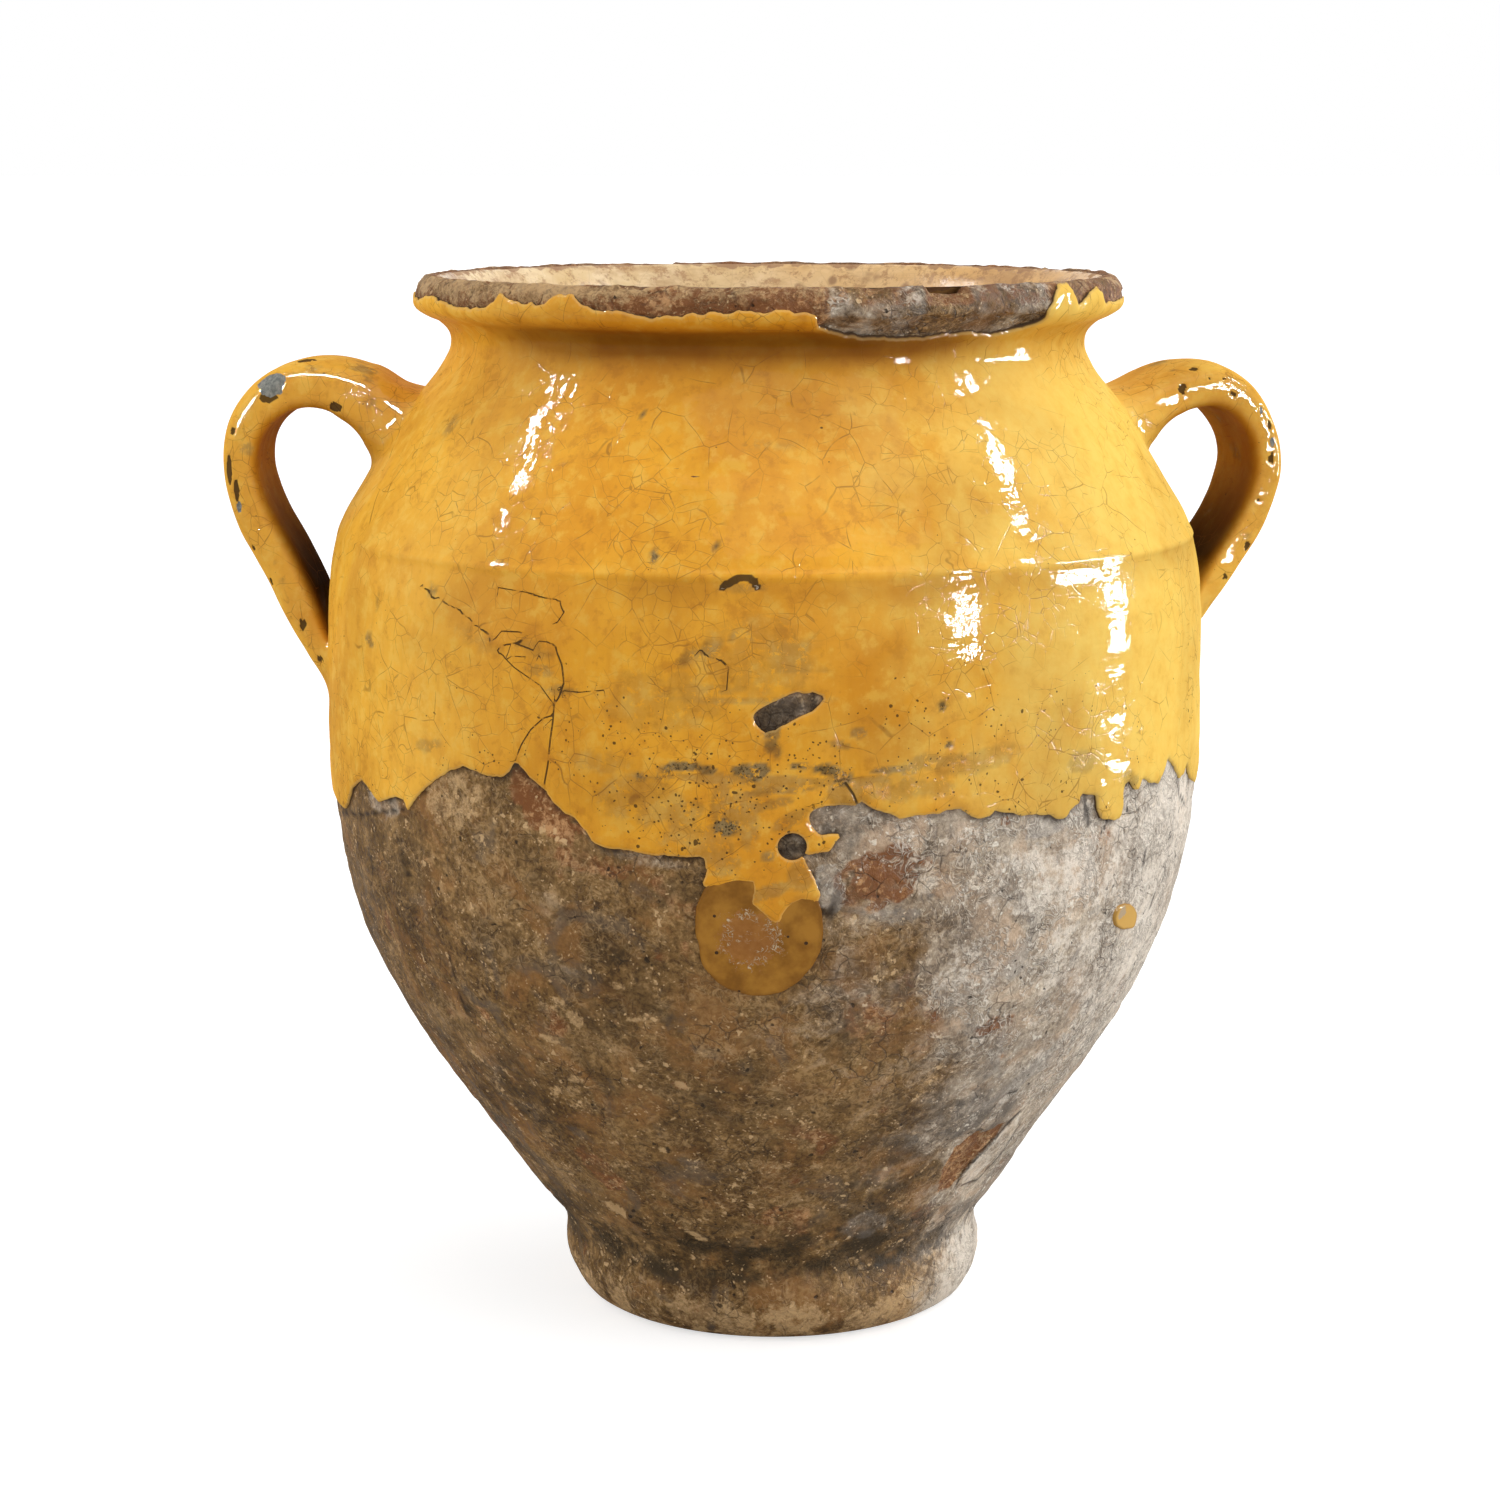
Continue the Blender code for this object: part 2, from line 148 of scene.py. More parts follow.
class Recipe:
    """The nodes of a finish, made one after another, and the colour so far. Coordinates are metres on the pot."""

    def __init__(self, owner):
        # Given a name, this makes a new material. The sky gives its world instead.
        self.owner = bpy.data.materials.new(owner) if isinstance(owner, str) else owner
        self.owner.use_nodes = True
        self.tree = self.owner.node_tree
        self.shader = self.tree.nodes.get("Principled BSDF")
        self.place = self.node("ShaderNodeTexCoord").outputs["Object"]

    def wire(self, socket, value):
        """Gives an input its value, or joins it to another node's output."""
        value = value.socket if isinstance(value, Level) else value
        if isinstance(value, bpy.types.NodeSocket):
            self.tree.links.new(value, socket)
        else:
            socket.default_value = (*value, 1.0) if socket.type == "RGBA" else value

    def set(self, node, **inputs):
        for name, value in inputs.items():
            self.wire(node.inputs[name.replace("_", " ")], value)
        return node

    def node(self, kind, settings=None, **inputs):
        made = self.tree.nodes.new(kind)
        for setting, value in (settings or {}).items():
            setattr(made, setting, value)
        return self.set(made, **inputs)

    def worked(self, kind, settings, *values, **inputs):
        """A node whose first inputs take these values, one after another."""
        made = self.node(kind, settings, **inputs)
        for socket, value in zip(made.inputs, values):
            self.wire(socket, value)
        return made.outputs[0]

    def math(self, operation, first, second):
        return Level(self, self.worked("ShaderNodeMath", {"operation": operation}, first, second))

    def painted(self, name):
        return Level(self, self.node("ShaderNodeAttribute", {"attribute_name": name}).outputs["Fac"])

    def noise(self, size, detail=3.0, rough=0.55, bend=0.0, place=None):
        """Noise whose lumps are about this many mm across, from 0 to 1."""
        made = self.node("ShaderNodeTexNoise", Vector=place or self.place, Scale=1000 / size, Detail=detail,
                         Roughness=rough, Distortion=bend)
        return Level(self, made.outputs[0])

    def cells(self, size, feature="F1", place=None):
        made = self.node("ShaderNodeTexVoronoi", {"feature": feature}, Vector=place or self.place,
                         Scale=1000 / size)
        return Level(self, made.outputs["Distance"])

    def scaled(self, x, y, z):
        """Coordinates stretched by these amounts."""
        return self.node("ShaderNodeMapping", Vector=self.place, Scale=(x, y, z)).outputs[0]

    def swayed(self, size, amount):
        """Coordinates pushed about by noise, so that cracks and cells don't look drawn by rule."""
        push = self.node("ShaderNodeTexNoise", Vector=self.place, Scale=1000 / size, Detail=2.0).outputs["Color"]
        centred = self.worked("ShaderNodeVectorMath", {"operation": "SUBTRACT"}, push, (0.5, 0.5, 0.5))
        sway = self.worked("ShaderNodeVectorMath", {"operation": "SCALE"}, centred, Scale=amount / 1000)
        return self.worked("ShaderNodeVectorMath", {"operation": "ADD"}, self.place, sway)

    def mix(self, share, first, second):
        made = self.node("ShaderNodeMix", {"data_type": "RGBA"})
        for number, value in ((0, share), (6, first), (7, second)):
            self.wire(made.inputs[number], value)
        return made.outputs[2]

    def tint(self, share, color):
        """Lays this much of a colour over the finish."""
        self.color = self.mix(share, self.color, color)

    def finish(self, roughness, height, relief, pieces, **settings):
        """Joins colour, roughness and relief, in mm, to the shader, and puts the finish on the pieces."""
        bump = self.node("ShaderNodeBump", Height=height, Strength=1.0, Distance=relief / 1000).outputs[0]
        self.set(self.shader, Base_Color=self.color, Roughness=roughness, Normal=bump, **settings)
        if self.shader.inputs["Coat Weight"].is_linked:
            self.set(self.shader, Coat_Normal=bump)
        for piece in pieces:
            piece.data.materials.append(self.owner)


sky = Recipe(bpy.data.worlds.new("white_studio"))
bpy.context.scene.world = sky.owner
sky.tree.nodes.clear()
ray = sky.node("ShaderNodeLightPath").outputs
direct = Level(sky, ray["Is Camera Ray"]) | ray["Is Glossy Ray"] | ray["Is Transmission Ray"]
# The light falls mostly from the two sides, and most from the right.
toward = sky.node("ShaderNodeSeparateXYZ", Vector=sky.node("ShaderNodeTexCoord").outputs["Generated"]).outputs
rightward, upward = Level(sky, toward["X"]), Level(sky, toward["Z"])
room_level = abs(rightward) ** 2 * 2.35 + rightward * 0.34 + (upward * 0.30 + 0.25)
room_light = sky.node("ShaderNodeBackground", Color=(1, 1, 1), Strength=room_level | 0.05).outputs[0]
backdrop_white = sky.node("ShaderNodeBackground", Color=(1, 1, 1)).outputs[0]
sky_choice = sky.worked("ShaderNodeMixShader", {}, direct, room_light, backdrop_white)
sky.node("ShaderNodeOutputWorld", Surface=sky_choice)

floor_mesh = bpy.data.meshes.new("floor")
side = FLOOR_SIZE / 2
floor_corners = [(-side, -side, 0), (side, -side, 0), (side, side, 0), (-side, side, 0)]
floor_mesh.from_pydata(floor_corners, [], [(0, 1, 2, 3)])
floor = bpy.data.objects.new("floor", floor_mesh)
bpy.context.scene.collection.objects.link(floor)
white = Recipe("white_floor")
seen_white = Level(white, white.node("ShaderNodeLightPath").outputs["Is Camera Ray"]) * FLOOR_WHITE
white.set(white.shader, Base_Color=(FLOOR_WHITE, FLOOR_WHITE, FLOOR_WHITE), Roughness=1.0, Specular_IOR_Level=0.0,
          Emission_Color=(1, 1, 1), Emission_Strength=seen_white)
floor_mesh.materials.append(white.owner)

# The bowl. The lower two thirds of the pot, thrown in coarse brown clay on a wheel, with a turned foot. It was
# never glazed outside, and use has left it scratched, sooty and flaking. It is greyer to the right, and paler
# there, partly in its skin and partly as painted light on the side where the strongest light falls.
FOOT_OUTLINE = [
    (0, 0.5), (40, 0.4), (50.5, 0.0), (52.5, 0.0), (56.0, 1.6), (58.9, 5.2), (60.8, 9.8), (61.5, 14.6),
    (61.0, 19.2), (61.4, 24.0), (63.6, 28.2),
]
BOWL_OUTLINE = [
    (67.4, 33), (75.4, 45), (85.9, 60), (98.2, 78), (109.1, 96), (117.2, 114), (122.2, 132), (125.0, 150),
    (125.8, 168), (125.6, 186), (125.5, 204), (124.5, 216), (122.8, 225), (121.9, 228),
]
SHOULDER_OUTLINE = [
    (119.6, 233), (115.4, 240), (108.2, 252), (100.0, 264), (93.4, 272.5), (90.0, 279.5), (90.4, 284),
    (93.6, 287.6), (97.8, 289.6), (100.4, 291.8), (100.9, 295.2), (99.8, 298.4), (97.6, 300.0),
]
MOUTH_OUTLINE = [(95.2, 299.6), (92.4, 297.2), (89.6, 293.4), (86.4, 288.0), (83.6, 282.0), (82.2, 275.6)]
INSIDE_OUTLINE = [
    (82.6, 270), (86.6, 263), (93.4, 256.4), (100.6, 249.4), (107.2, 240.6), (112.8, 229), (116.4, 214),
    (117.6, 192), (117.0, 160), (113.4, 132), (105.0, 108), (92.6, 84), (77.4, 60), (62.6, 40), (49.6, 25),
    (41.0, 15.4), (33.0, 11.8), (20.0, 11.0), (0.0, 11.0),
]
JOIN_HEIGHT = 227.5
BASE_EDGE = (52.5, 0.0)
# How far the turning axis leans to the right at each height: the foot was turned a little off centre.
LEAN_HEIGHTS = [0, 16, 34, 60, 190, 250, 300]
LEAN_RIGHT = [3.1, 2.7, 1.0, 0.2, 0.0, 0.3, 1.5]
# Places round the wall are measured in mm at this radius, from the front to the right.
AROUND = 120.0
HALF_ROUND = AROUND * math.pi
PHOTO_WIDTH = 1500


def smooth_line(points, step):
    """A smooth line through the points, with places about one step apart."""
    points = np.array(points, float)
    ends = np.vstack([2 * points[0] - points[1], points, 2 * points[-1] - points[-2]])
    gaps = np.sqrt(np.linalg.norm(np.diff(ends, axis=0), axis=1))
    knots = np.concatenate([[0.0], np.cumsum(gaps)])
    line = [points[:1]]
    for first in range(len(points) - 1):
        p0, p1, p2, p3 = ends[first : first + 4]
        t0, t1, t2, t3 = knots[first : first + 4]
        count = max(1, round(np.linalg.norm(p2 - p1) / step))
        t = np.linspace(t1, t2, count + 1)[1:, None]

        def blend(low, high, start, end):
            return ((end - t) * low + (t - start) * high) / (end - start)

        a1, a2, a3 = blend(p0, p1, t0, t1), blend(p1, p2, t1, t2), blend(p2, p3, t2, t3)
        line.append(blend(blend(a1, a2, t0, t2), blend(a2, a3, t1, t3), t1, t2))
    return np.vstack(line)


def run_of(line):
    """The distance along a line to each of its places."""
    return np.concatenate([[0.0], np.cumsum(np.linalg.norm(np.diff(line, axis=0), axis=1))])


def evened(line, steps, run=None):
    """Places on the line at these distances along it."""
    run = run_of(line) if run is None else run
    return np.stack([np.interp(steps, run, part) for part in line.T], axis=1)


def spaced(line, count, short=0):
    """This many places spread along the line, stopping a little short of its end."""
    return evened(line, np.linspace(0, run_of(line)[-1] - short, count))


whole_line = smooth_line(FOOT_OUTLINE + BOWL_OUTLINE + SHOULDER_OUTLINE + MOUTH_OUTLINE + INSIDE_OUTLINE, 0.25)
whole_run = run_of(whole_line)
base_place = int(np.argmin(np.linalg.norm(whole_line - BASE_EDGE, axis=1)))
crest_place = int(np.argmax(whole_line[:, 1]))
outer_line = whole_line[base_place : crest_place + 1]
outer_run = whole_run[base_place : crest_place + 1] - whole_run[base_place]


def outer_place(height):
    return int(np.argmin(np.abs(outer_line[:, 1] - height)))


def inner_place(height):
    """The place on the whole line nearest this height, past the crest."""
    return int(np.argmin(np.abs(whole_line[:, 1] - height) + 1000 * (np.arange(len(whole_line)) < crest_place)))


def run_at(height):
    """How far up the outer wall, along it from the edge of the base, a height lies."""
    return np.interp(height, np.maximum.accumulate(outer_line[:, 1]), outer_run)


def radius_at(height):
    return np.interp(height, outer_line[:, 1], outer_line[:, 0])


def lean_at(height):
    return np.interp(height, LEAN_HEIGHTS, LEAN_RIGHT)


def on_wall(seen):
    """Carries places seen in the photograph onto the outer wall, as (mm round from the front, mm up it)."""
    seen = np.array(seen, float).reshape(-1, 2)
    across = (seen[:, 0] - PHOTO_WIDTH / 2) * FILM / PHOTO_WIDTH / LENS
    up = (PHOTO_WIDTH / 2 - seen[:, 1]) * FILM / PHOTO_WIDTH / LENS
    ahead = math.cos(CAMERA_DIP) + up * math.sin(CAMERA_DIP)
    rise = up * math.cos(CAMERA_DIP) - math.sin(CAMERA_DIP)
    depth = np.linspace(-150, 0, 901)
    far = (depth[None, :] - CAMERA_PLACE[1]) / ahead[:, None]
    x = CAMERA_PLACE[0] + far * across[:, None]
    z = CAMERA_PLACE[2] + far * rise[:, None]
    spare = np.hypot(x - lean_at(z), depth[None, :]) - radius_at(z)
    inside = spare < 0
    place = np.where(inside.any(axis=1), inside.argmax(axis=1), spare.argmin(axis=1))
    row = np.arange(len(seen))
    before = np.maximum(place - 1, 0)
    share = np.clip(spare[row, before] / (spare[row, before] - spare[row, place] + 1e-9), 0, 1)
    x, z = (part[row, before] + share * (part[row, place] - part[row, before]) for part in (x, z))
    y = depth[before] + share * (depth[place] - depth[before])
    return np.stack([np.arctan2(x - lean_at(z), -y) * AROUND, run_at(z)], axis=1)


def grain(places, size, seed):
    """Smooth lumps of about this size, from -1 to 1."""
    cell = places / size + seed * 31.7
    low = np.floor(cell).astype(np.int64)
    part = cell - low
    ease = part**3 * (part * (part * 6 - 15) + 10)
    total = np.zeros(len(places))
    for corner in itertools.product((0, 1), repeat=3):
        corner = np.array(corner)
        code = (low + corner) @ np.array([73856093, 19349663, 83492791])
        code = ((code ^ (code >> 13)) * 1274126177) & 0xFFFFFFFF
        code = ((code ^ (code >> 16)) * 2246822519) & 0xFFFFFFFF
        slopes = np.stack([((code >> shift) & 1023) / 511.5 - 1 for shift in (2, 12, 22)], axis=1)
        weight = np.prod(np.where(corner, ease, 1 - ease), axis=1)
        total += weight * np.sum(slopes * (part - corner), axis=1)
    return 1.5 * total


def clouds(places, size, seed, layers=4):
    """Lumps with finer and finer lumps on them."""
    return sum(0.5**layer * grain(places, size / 2**layer, seed + layer) for layer in range(layers))


def between(low, high, value):
    """Eases from 0 at low to 1 at high."""
    share = np.clip((value - low) / (high - low), 0, 1)
    return share * share * (3 - 2 * share)


def band(start, full, fading, end, value):
    """Eases from 0 at start up to 1, and back to 0 at end."""
    return between(start, full, value) * (1 - between(fading, end, value))


def hump(value, middle, width):
    """1 at the middle, dying away on both sides of it."""
    return np.exp(-(((value - middle) / width) ** 2))


def unit(directions):
    return directions / (np.linalg.norm(directions, axis=1)[:, None] + 1e-9)


def turns_round(front_step, back_step, radius):
    """Angles round the pot from the front, close together in front and wider apart behind, without a seam."""
    angle = np.linspace(-math.pi, math.pi, 7201)
    step = front_step + (back_step - front_step) * between(1.75, 2.3, np.abs(angle))
    tally = np.concatenate([[0.0], np.cumsum(radius * np.diff(angle) / step[1:])])
    count = 2 * round(tally[-1] / 2)
    return np.interp(np.arange(count) * tally[-1] / count, tally, angle)


def out_of_round(angle, height):
    """How far the thrown wall strays from a true circle."""
    settling = 0.5 * np.sin(2 * angle + 0.6) * between(40, 160, height) * (1 - 0.5 * between(200, 290, height))
    return settling + 0.05 * np.sin(height / 1.9 + 0.8 * np.sin(angle)) * band(30, 60, 205, 222, height)


def placed_round(angle, reach, height):
    """Places at this angle round the pot, distance from its axis and height."""
    return np.stack([reach * np.sin(angle) + lean_at(height), -reach * np.cos(angle), height], axis=-1)


def turned_places(line, turns):
    """Places and outward directions on a turned surface: one row round for each place on the line."""
    along = unit(np.gradient(line, axis=0))
    radius, height, angle = line[:, :1], line[:, 1:], turns[None, :]
    facing_up = -along[:, :1] * np.ones_like(angle)
    out = np.stack([along[:, 1:] * np.sin(angle), -along[:, 1:] * np.cos(angle), facing_up], axis=2)
    stray = out_of_round(angle, height) * np.clip(radius / 50, 0, 1)
    places = placed_round(angle, radius + stray * np.clip(along[:, 1:], 0, 1), height * np.ones_like(angle))
    return places.reshape(-1, 3), out.reshape(-1, 3)


def wall_places(turns, up_it):
    """Where each place of such rows lies on the wall: mm round from the front, and mm up it."""
    return np.stack([np.tile(turns * AROUND, len(up_it)), np.repeat(up_it, len(turns))], axis=1)


def paint_on(piece, name, values):
    """Paints one value on each place of a piece, for its finish to use."""
    layer = piece.data.attributes.new(name, "FLOAT", "POINT")
    layer.data.foreach_set("value", np.asarray(values, np.float32))


def new_piece(name, places, faces, painted):
    """An object from places in mm, with one painted value for each place and each name."""
    mesh = bpy.data.meshes.new(name)
    mesh.from_pydata((places / 1000).tolist(), [], faces)
    mesh.shade_smooth()
    piece = bpy.data.objects.new(name, mesh)
    for value_name, values in painted.items():
        paint_on(piece, value_name, values)
    bpy.context.scene.collection.objects.link(piece)
    return piece


def row_faces(rows, columns, closed=False):
    """Faces of a grid of rows that each go round once. A closed grid joins its last row to its first."""
    row, column = np.meshgrid(np.arange(rows if closed else rows - 1), np.arange(columns), indexing="ij")
    above = (row + 1) % rows
    beside = (column + 1) % columns
    corners = [row * columns + column, row * columns + beside, above * columns + beside, above * columns + column]
    return np.stack([corner.ravel() for corner in corners], axis=1).tolist()


def turned_piece(name, line, turns, depth, painted, closed=False):
    """A turned solid, pushed out by depth at each place. An open line starts and ends at the axis."""
    places, out = turned_places(line, turns)
    places = places + out * depth(places)[:, None]
    faces = row_faces(len(line), len(turns), closed)
    if not closed:
        faces.append(list(range(len(turns)))[::-1])
        faces.append(list(range(len(places) - len(turns), len(places))))
    return new_piece(name, places, faces, painted(places))


def spot(wall, x, y, width, tall, tilt=0.0):
    """A soft oval mark, 1 in its middle, at a place seen in the photograph. Its sizes are half widths."""
    across, up = (wall - on_wall([(x, y)])[0]).T
    turn = math.radians(tilt)
    along = (across * math.cos(turn) + up * math.sin(turn)) / width
    side_on = (up * math.cos(turn) - across * math.sin(turn)) / tall
    return np.exp(-((along**2 + side_on**2) ** 1.5))


def edge_distance(wall, line):
    """The distance from each place on the wall to a line on it."""
    nearest = np.full(len(wall), 1e9)
    for start, end in zip(line, line[1:]):
        low, high = np.minimum(start, end) - 9, np.maximum(start, end) + 9
        near = ((wall > low) & (wall < high)).all(axis=1)
        if not near.any():
            continue
        some = wall[near]
        along = end - start
        share = np.clip((some - start) @ along / (along @ along + 1e-9), 0, 1)
        gap = np.linalg.norm(some - start - share[:, None] * along, axis=1)
        nearest[near] = np.minimum(nearest[near], gap)
    return nearest


def within(wall, ring):
    """Whether each place on the wall lies within a closed ring on it."""
    inside = np.zeros(len(wall), bool)
    for (x0, y0), (x1, y1) in zip(ring, np.roll(ring, -1, axis=0)):
        if y0 != y1:
            crosses = (y0 > wall[:, 1]) != (y1 > wall[:, 1])
            inside ^= crosses & (wall[:, 0] < x0 + (wall[:, 1] - y0) * (x1 - x0) / (y1 - y0))
    return inside


BOWL_STEP = 1.25
UNDER_GLAZE_STEP = 5.0
bowl_top = run_at(JOIN_HEIGHT)
bowl_seen_top = run_at(190)
join_inside = inner_place(JOIN_HEIGHT)
bowl_base = np.array([(6, 0.5), (24, 0.45), (40, 0.4), (48.5, 0.15), (51.2, 0.0)])
bowl_outer = evened(outer_line, np.concatenate([
    np.arange(0, bowl_seen_top, BOWL_STEP), np.arange(bowl_seen_top, bowl_top - 2, UNDER_GLAZE_STEP), [bowl_top],
]), outer_run)
bowl_line = np.vstack([bowl_base, bowl_outer, spaced(whole_line[join_inside:], 22, 6)])
bowl_turns = turns_round(1.24, 4.4, 125)
bowl_wall = wall_places(bowl_turns, run_at(bowl_line[:, 1]))
# Flakes that have come off the bowl: seen place, half width, half height, tilt and depth.
FLAKE_SCARS = [
    (968, 1155, 3.0, 10.5, -38, 0.7), (618, 1207, 5.5, 2.0, -28, 0.8), (688, 1238, 5.5, 1.8, -24, 0.8),
    (680, 1086, 2.6, 1.4, -40, 0.7), (583, 1176, 4.5, 11, 40, 0.35), (875, 880, 12, 8, 20, 0.35),
    (548, 800, 12, 8, -42, 0.5), (1005, 1100, 3.0, 3.0, -35, 0.5), (571, 1020, 3.5, 3.5, -40, 0.4),
    (380, 800, 12, 4.5, 0, 0.45), (842, 832, 4.4, 3.6, 0, 0.5),
]
# Marks on the bare clay as seen, by kind: place, half width, half height, tilt and strength.
CLAY_MARKS = [
    ("pale", [
        (556, 1092, 3.2, 1.0, 50, 1.1), (662, 1150, 2.2, 0.9, 0, 1.0), (506, 1072, 0.9, 3.2, 30, 1.0),
        (640, 1018, 3.4, 0.9, 10, 1.0), (490, 960, 1.6, 0.8, 20, 1.1), (437, 925, 1.8, 0.8, -50, 1.2),
        (640, 1065, 3.0, 0.8, 15, 1.0), (618, 985, 2.6, 0.9, -20, 1.0), (470, 1120, 3.4, 0.7, -45, 1.1),
    ]),
    ("soot_and_shade", [
        (700, 890, 16, 6, 10, 0.75), (455, 990, 3.5, 12, 25, 0.9), (402, 860, 2, 7, 10, 0.6),
        (520, 1090, 14, 18, 30, 0.6), (850, 1225, 26, 9, 0, 0.55), (940, 1110, 7, 8, 0, 0.5),
        (620, 1000, 20, 16, 0, 0.35), (640, 1250, 26, 5, -18, 0.7), (930, 1240, 16, 5, 15, 0.7),
        (905, 1150, 26, 22, 30, 0.65), (1000, 1090, 18, 26, -38, 0.75), (560, 900, 10, 9, 0, 0.3),
        (700, 1120, 16, 12, 0, 0.4), (380, 800, 10, 4, 0, 0.35),
    ]),
    ("pale", [
        (450, 800, 11, 8, 20, 0.75), (571, 1020, 3.4, 2.6, -40, 1.2), (549, 1038, 3.4, 1.3, -20, 1.3),
        (558, 1002, 2.4, 1.0, -30, 1.2), (575, 1080, 3.4, 1.6, 10, 1.0), (480, 1058, 4.2, 0.8, -40, 1.3),
        (512, 1106, 2.4, 0.8, -30, 1.3), (616, 1210, 5.0, 1.7, -26, 1.5), (694, 1236, 6.0, 1.6, -18, 1.5),
        (681, 1086, 3.2, 1.3, -25, 1.5), (925, 1085, 6, 7, 0, 0.55), (970, 970, 11, 10, 0, 0.6),
        (1040, 880, 22, 10, 0, 0.65), (990, 1145, 2.2, 9.5, -37, 1.0), (1006, 1100, 2.6, 2.0, -35, 0.9),
        (924, 884, 3.0, 2.6, 0, 1.4), (712, 1050, 6, 4.5, 0, 0.35), (776, 1165, 8, 2.5, 0, 0.4),
        (1060, 960, 12, 10, 0, 0.35),
    ]),
    ("soot_and_shade", [(829, 888, 3.4, 6.3, 10, 1.3), (842, 832, 5.0, 4.2, 0, 1.5)]),
    ("rust", [
        (545, 805, 12, 8, -40, 1.0), (882, 878, 13, 8, 15, 0.75), (958, 1160, 2.6, 9, -38, 1.0),
        (868, 1030, 9, 11, 0, 0.45), (387, 925, 2.5, 4.5, 0, 0.9), (600, 865, 14, 3, -8, 0.5),
        (470, 1090, 5, 16, 20, 0.4), (600, 1170, 8, 12, 40, 0.6), (680, 1086, 3, 1.4, -25, 0.9),
        (1006, 821, 1.4, 1.2, 0, 1.0), (1100, 850, 7, 8, 0, 0.4), (1030, 1240, 8, 3, 20, 0.5),
    ]),
    ("grey", [
        (829, 888, 3.6, 6.5, 10, 1.0), (865, 1225, 12, 6, 0, 0.45), (655, 862, 14, 2.0, -8, 0.35),
        (380, 800, 10, 4.5, 0, 0.5),
    ]),
]
# The big flake low on the right as seen: red clay where the skin came away, and the pale plate still beside it.
RED_SCAR = [
    (938, 1190), (944, 1168), (956, 1148), (975, 1133), (994, 1128), (1004, 1122), (994, 1138), (976, 1156),
    (958, 1178), (950, 1188),
]
PALE_PLATE = [
    (960, 1184), (974, 1178), (990, 1162), (1004, 1145), (1015, 1127), (1020, 1112), (1008, 1123), (992, 1140),
    (976, 1156), (964, 1171),
]
# Dark lines in the clay as seen, with half widths in mm.
CLAY_CREVICES = [
    ([(957, 1184), (963, 1172), (977, 1155), (993, 1139), (1008, 1122), (1019, 1112)], 0.5),
    ([(340, 813), (362, 815), (384, 812), (404, 809)], 0.24),
    ([(993, 1108), (1004, 1096), (1016, 1091)], 0.3),
    ([(634, 1222), (641, 1224)], 0.8),
    ([(722, 1246), (727, 1248)], 0.6),
    ([(400, 846), (403, 868), (409, 884)], 0.2),
    ([(1177, 778), (1179, 795), (1185, 806)], 0.35),
    ([(1145, 850), (1143, 866)], 0.4),
    ([(1154, 893), (1151, 908)], 0.35),
    ([(819, 908), (830, 915), (832, 908)], 0.9),
    ([(1036, 812), (1046, 818)], 0.4),
    ([(1084, 800), (1088, 822)], 0.8),
    ([(447, 957), (456, 985), (466, 1016)], 0.25),
    ([(962, 1185), (978, 1178), (993, 1163), (1007, 1146), (1018, 1126)], 0.35),
]


def bowl_depth(flat):
    outside = np.repeat(np.arange(len(bowl_line)) < len(bowl_base) + len(bowl_outer), len(bowl_turns))
    height = flat[:, 2]
    bare = outside * between(2, 7, height) * (1 - 0.7 * between(182, 190, height))
    lumps = 0.42 * clouds(flat, 26, 1, 3) + 0.2 * clouds(flat, 6.5, 5, 3)
    scrapes = -0.22 * between(0.25, 0.7, clouds(flat * (1, 1, 2.6), 15, 9, 3))
    layered = 0.3 * between(-0.06, 0.03, clouds(flat, 22, 12, 4) + 0.25)
    depth = bare * (lumps + scrapes + layered - 0.25)
    ragged = 0.16 * clouds(flat, 3.0, 21, 2)
    for *oval, deep in FLAKE_SCARS:
        depth -= deep * between(0.42, 0.55, spot(bowl_wall, *oval) + ragged) * outside
    depth += outside * (0.3 * within(bowl_wall, on_wall(PALE_PLATE)) - 0.5 * within(bowl_wall, on_wall(RED_SCAR)))
    return depth + outside * band(0.5, 3, 20, 34, height) * 0.35 * clouds(flat, 17, 31, 2)


def to_the_right(round_it):
    """How far right of the middle a place on the wall is, in front and behind alike."""
    behind = np.abs(round_it) > HALF_ROUND / 2
    return np.where(behind, np.sign(round_it) * (HALF_ROUND - np.abs(round_it)), round_it)


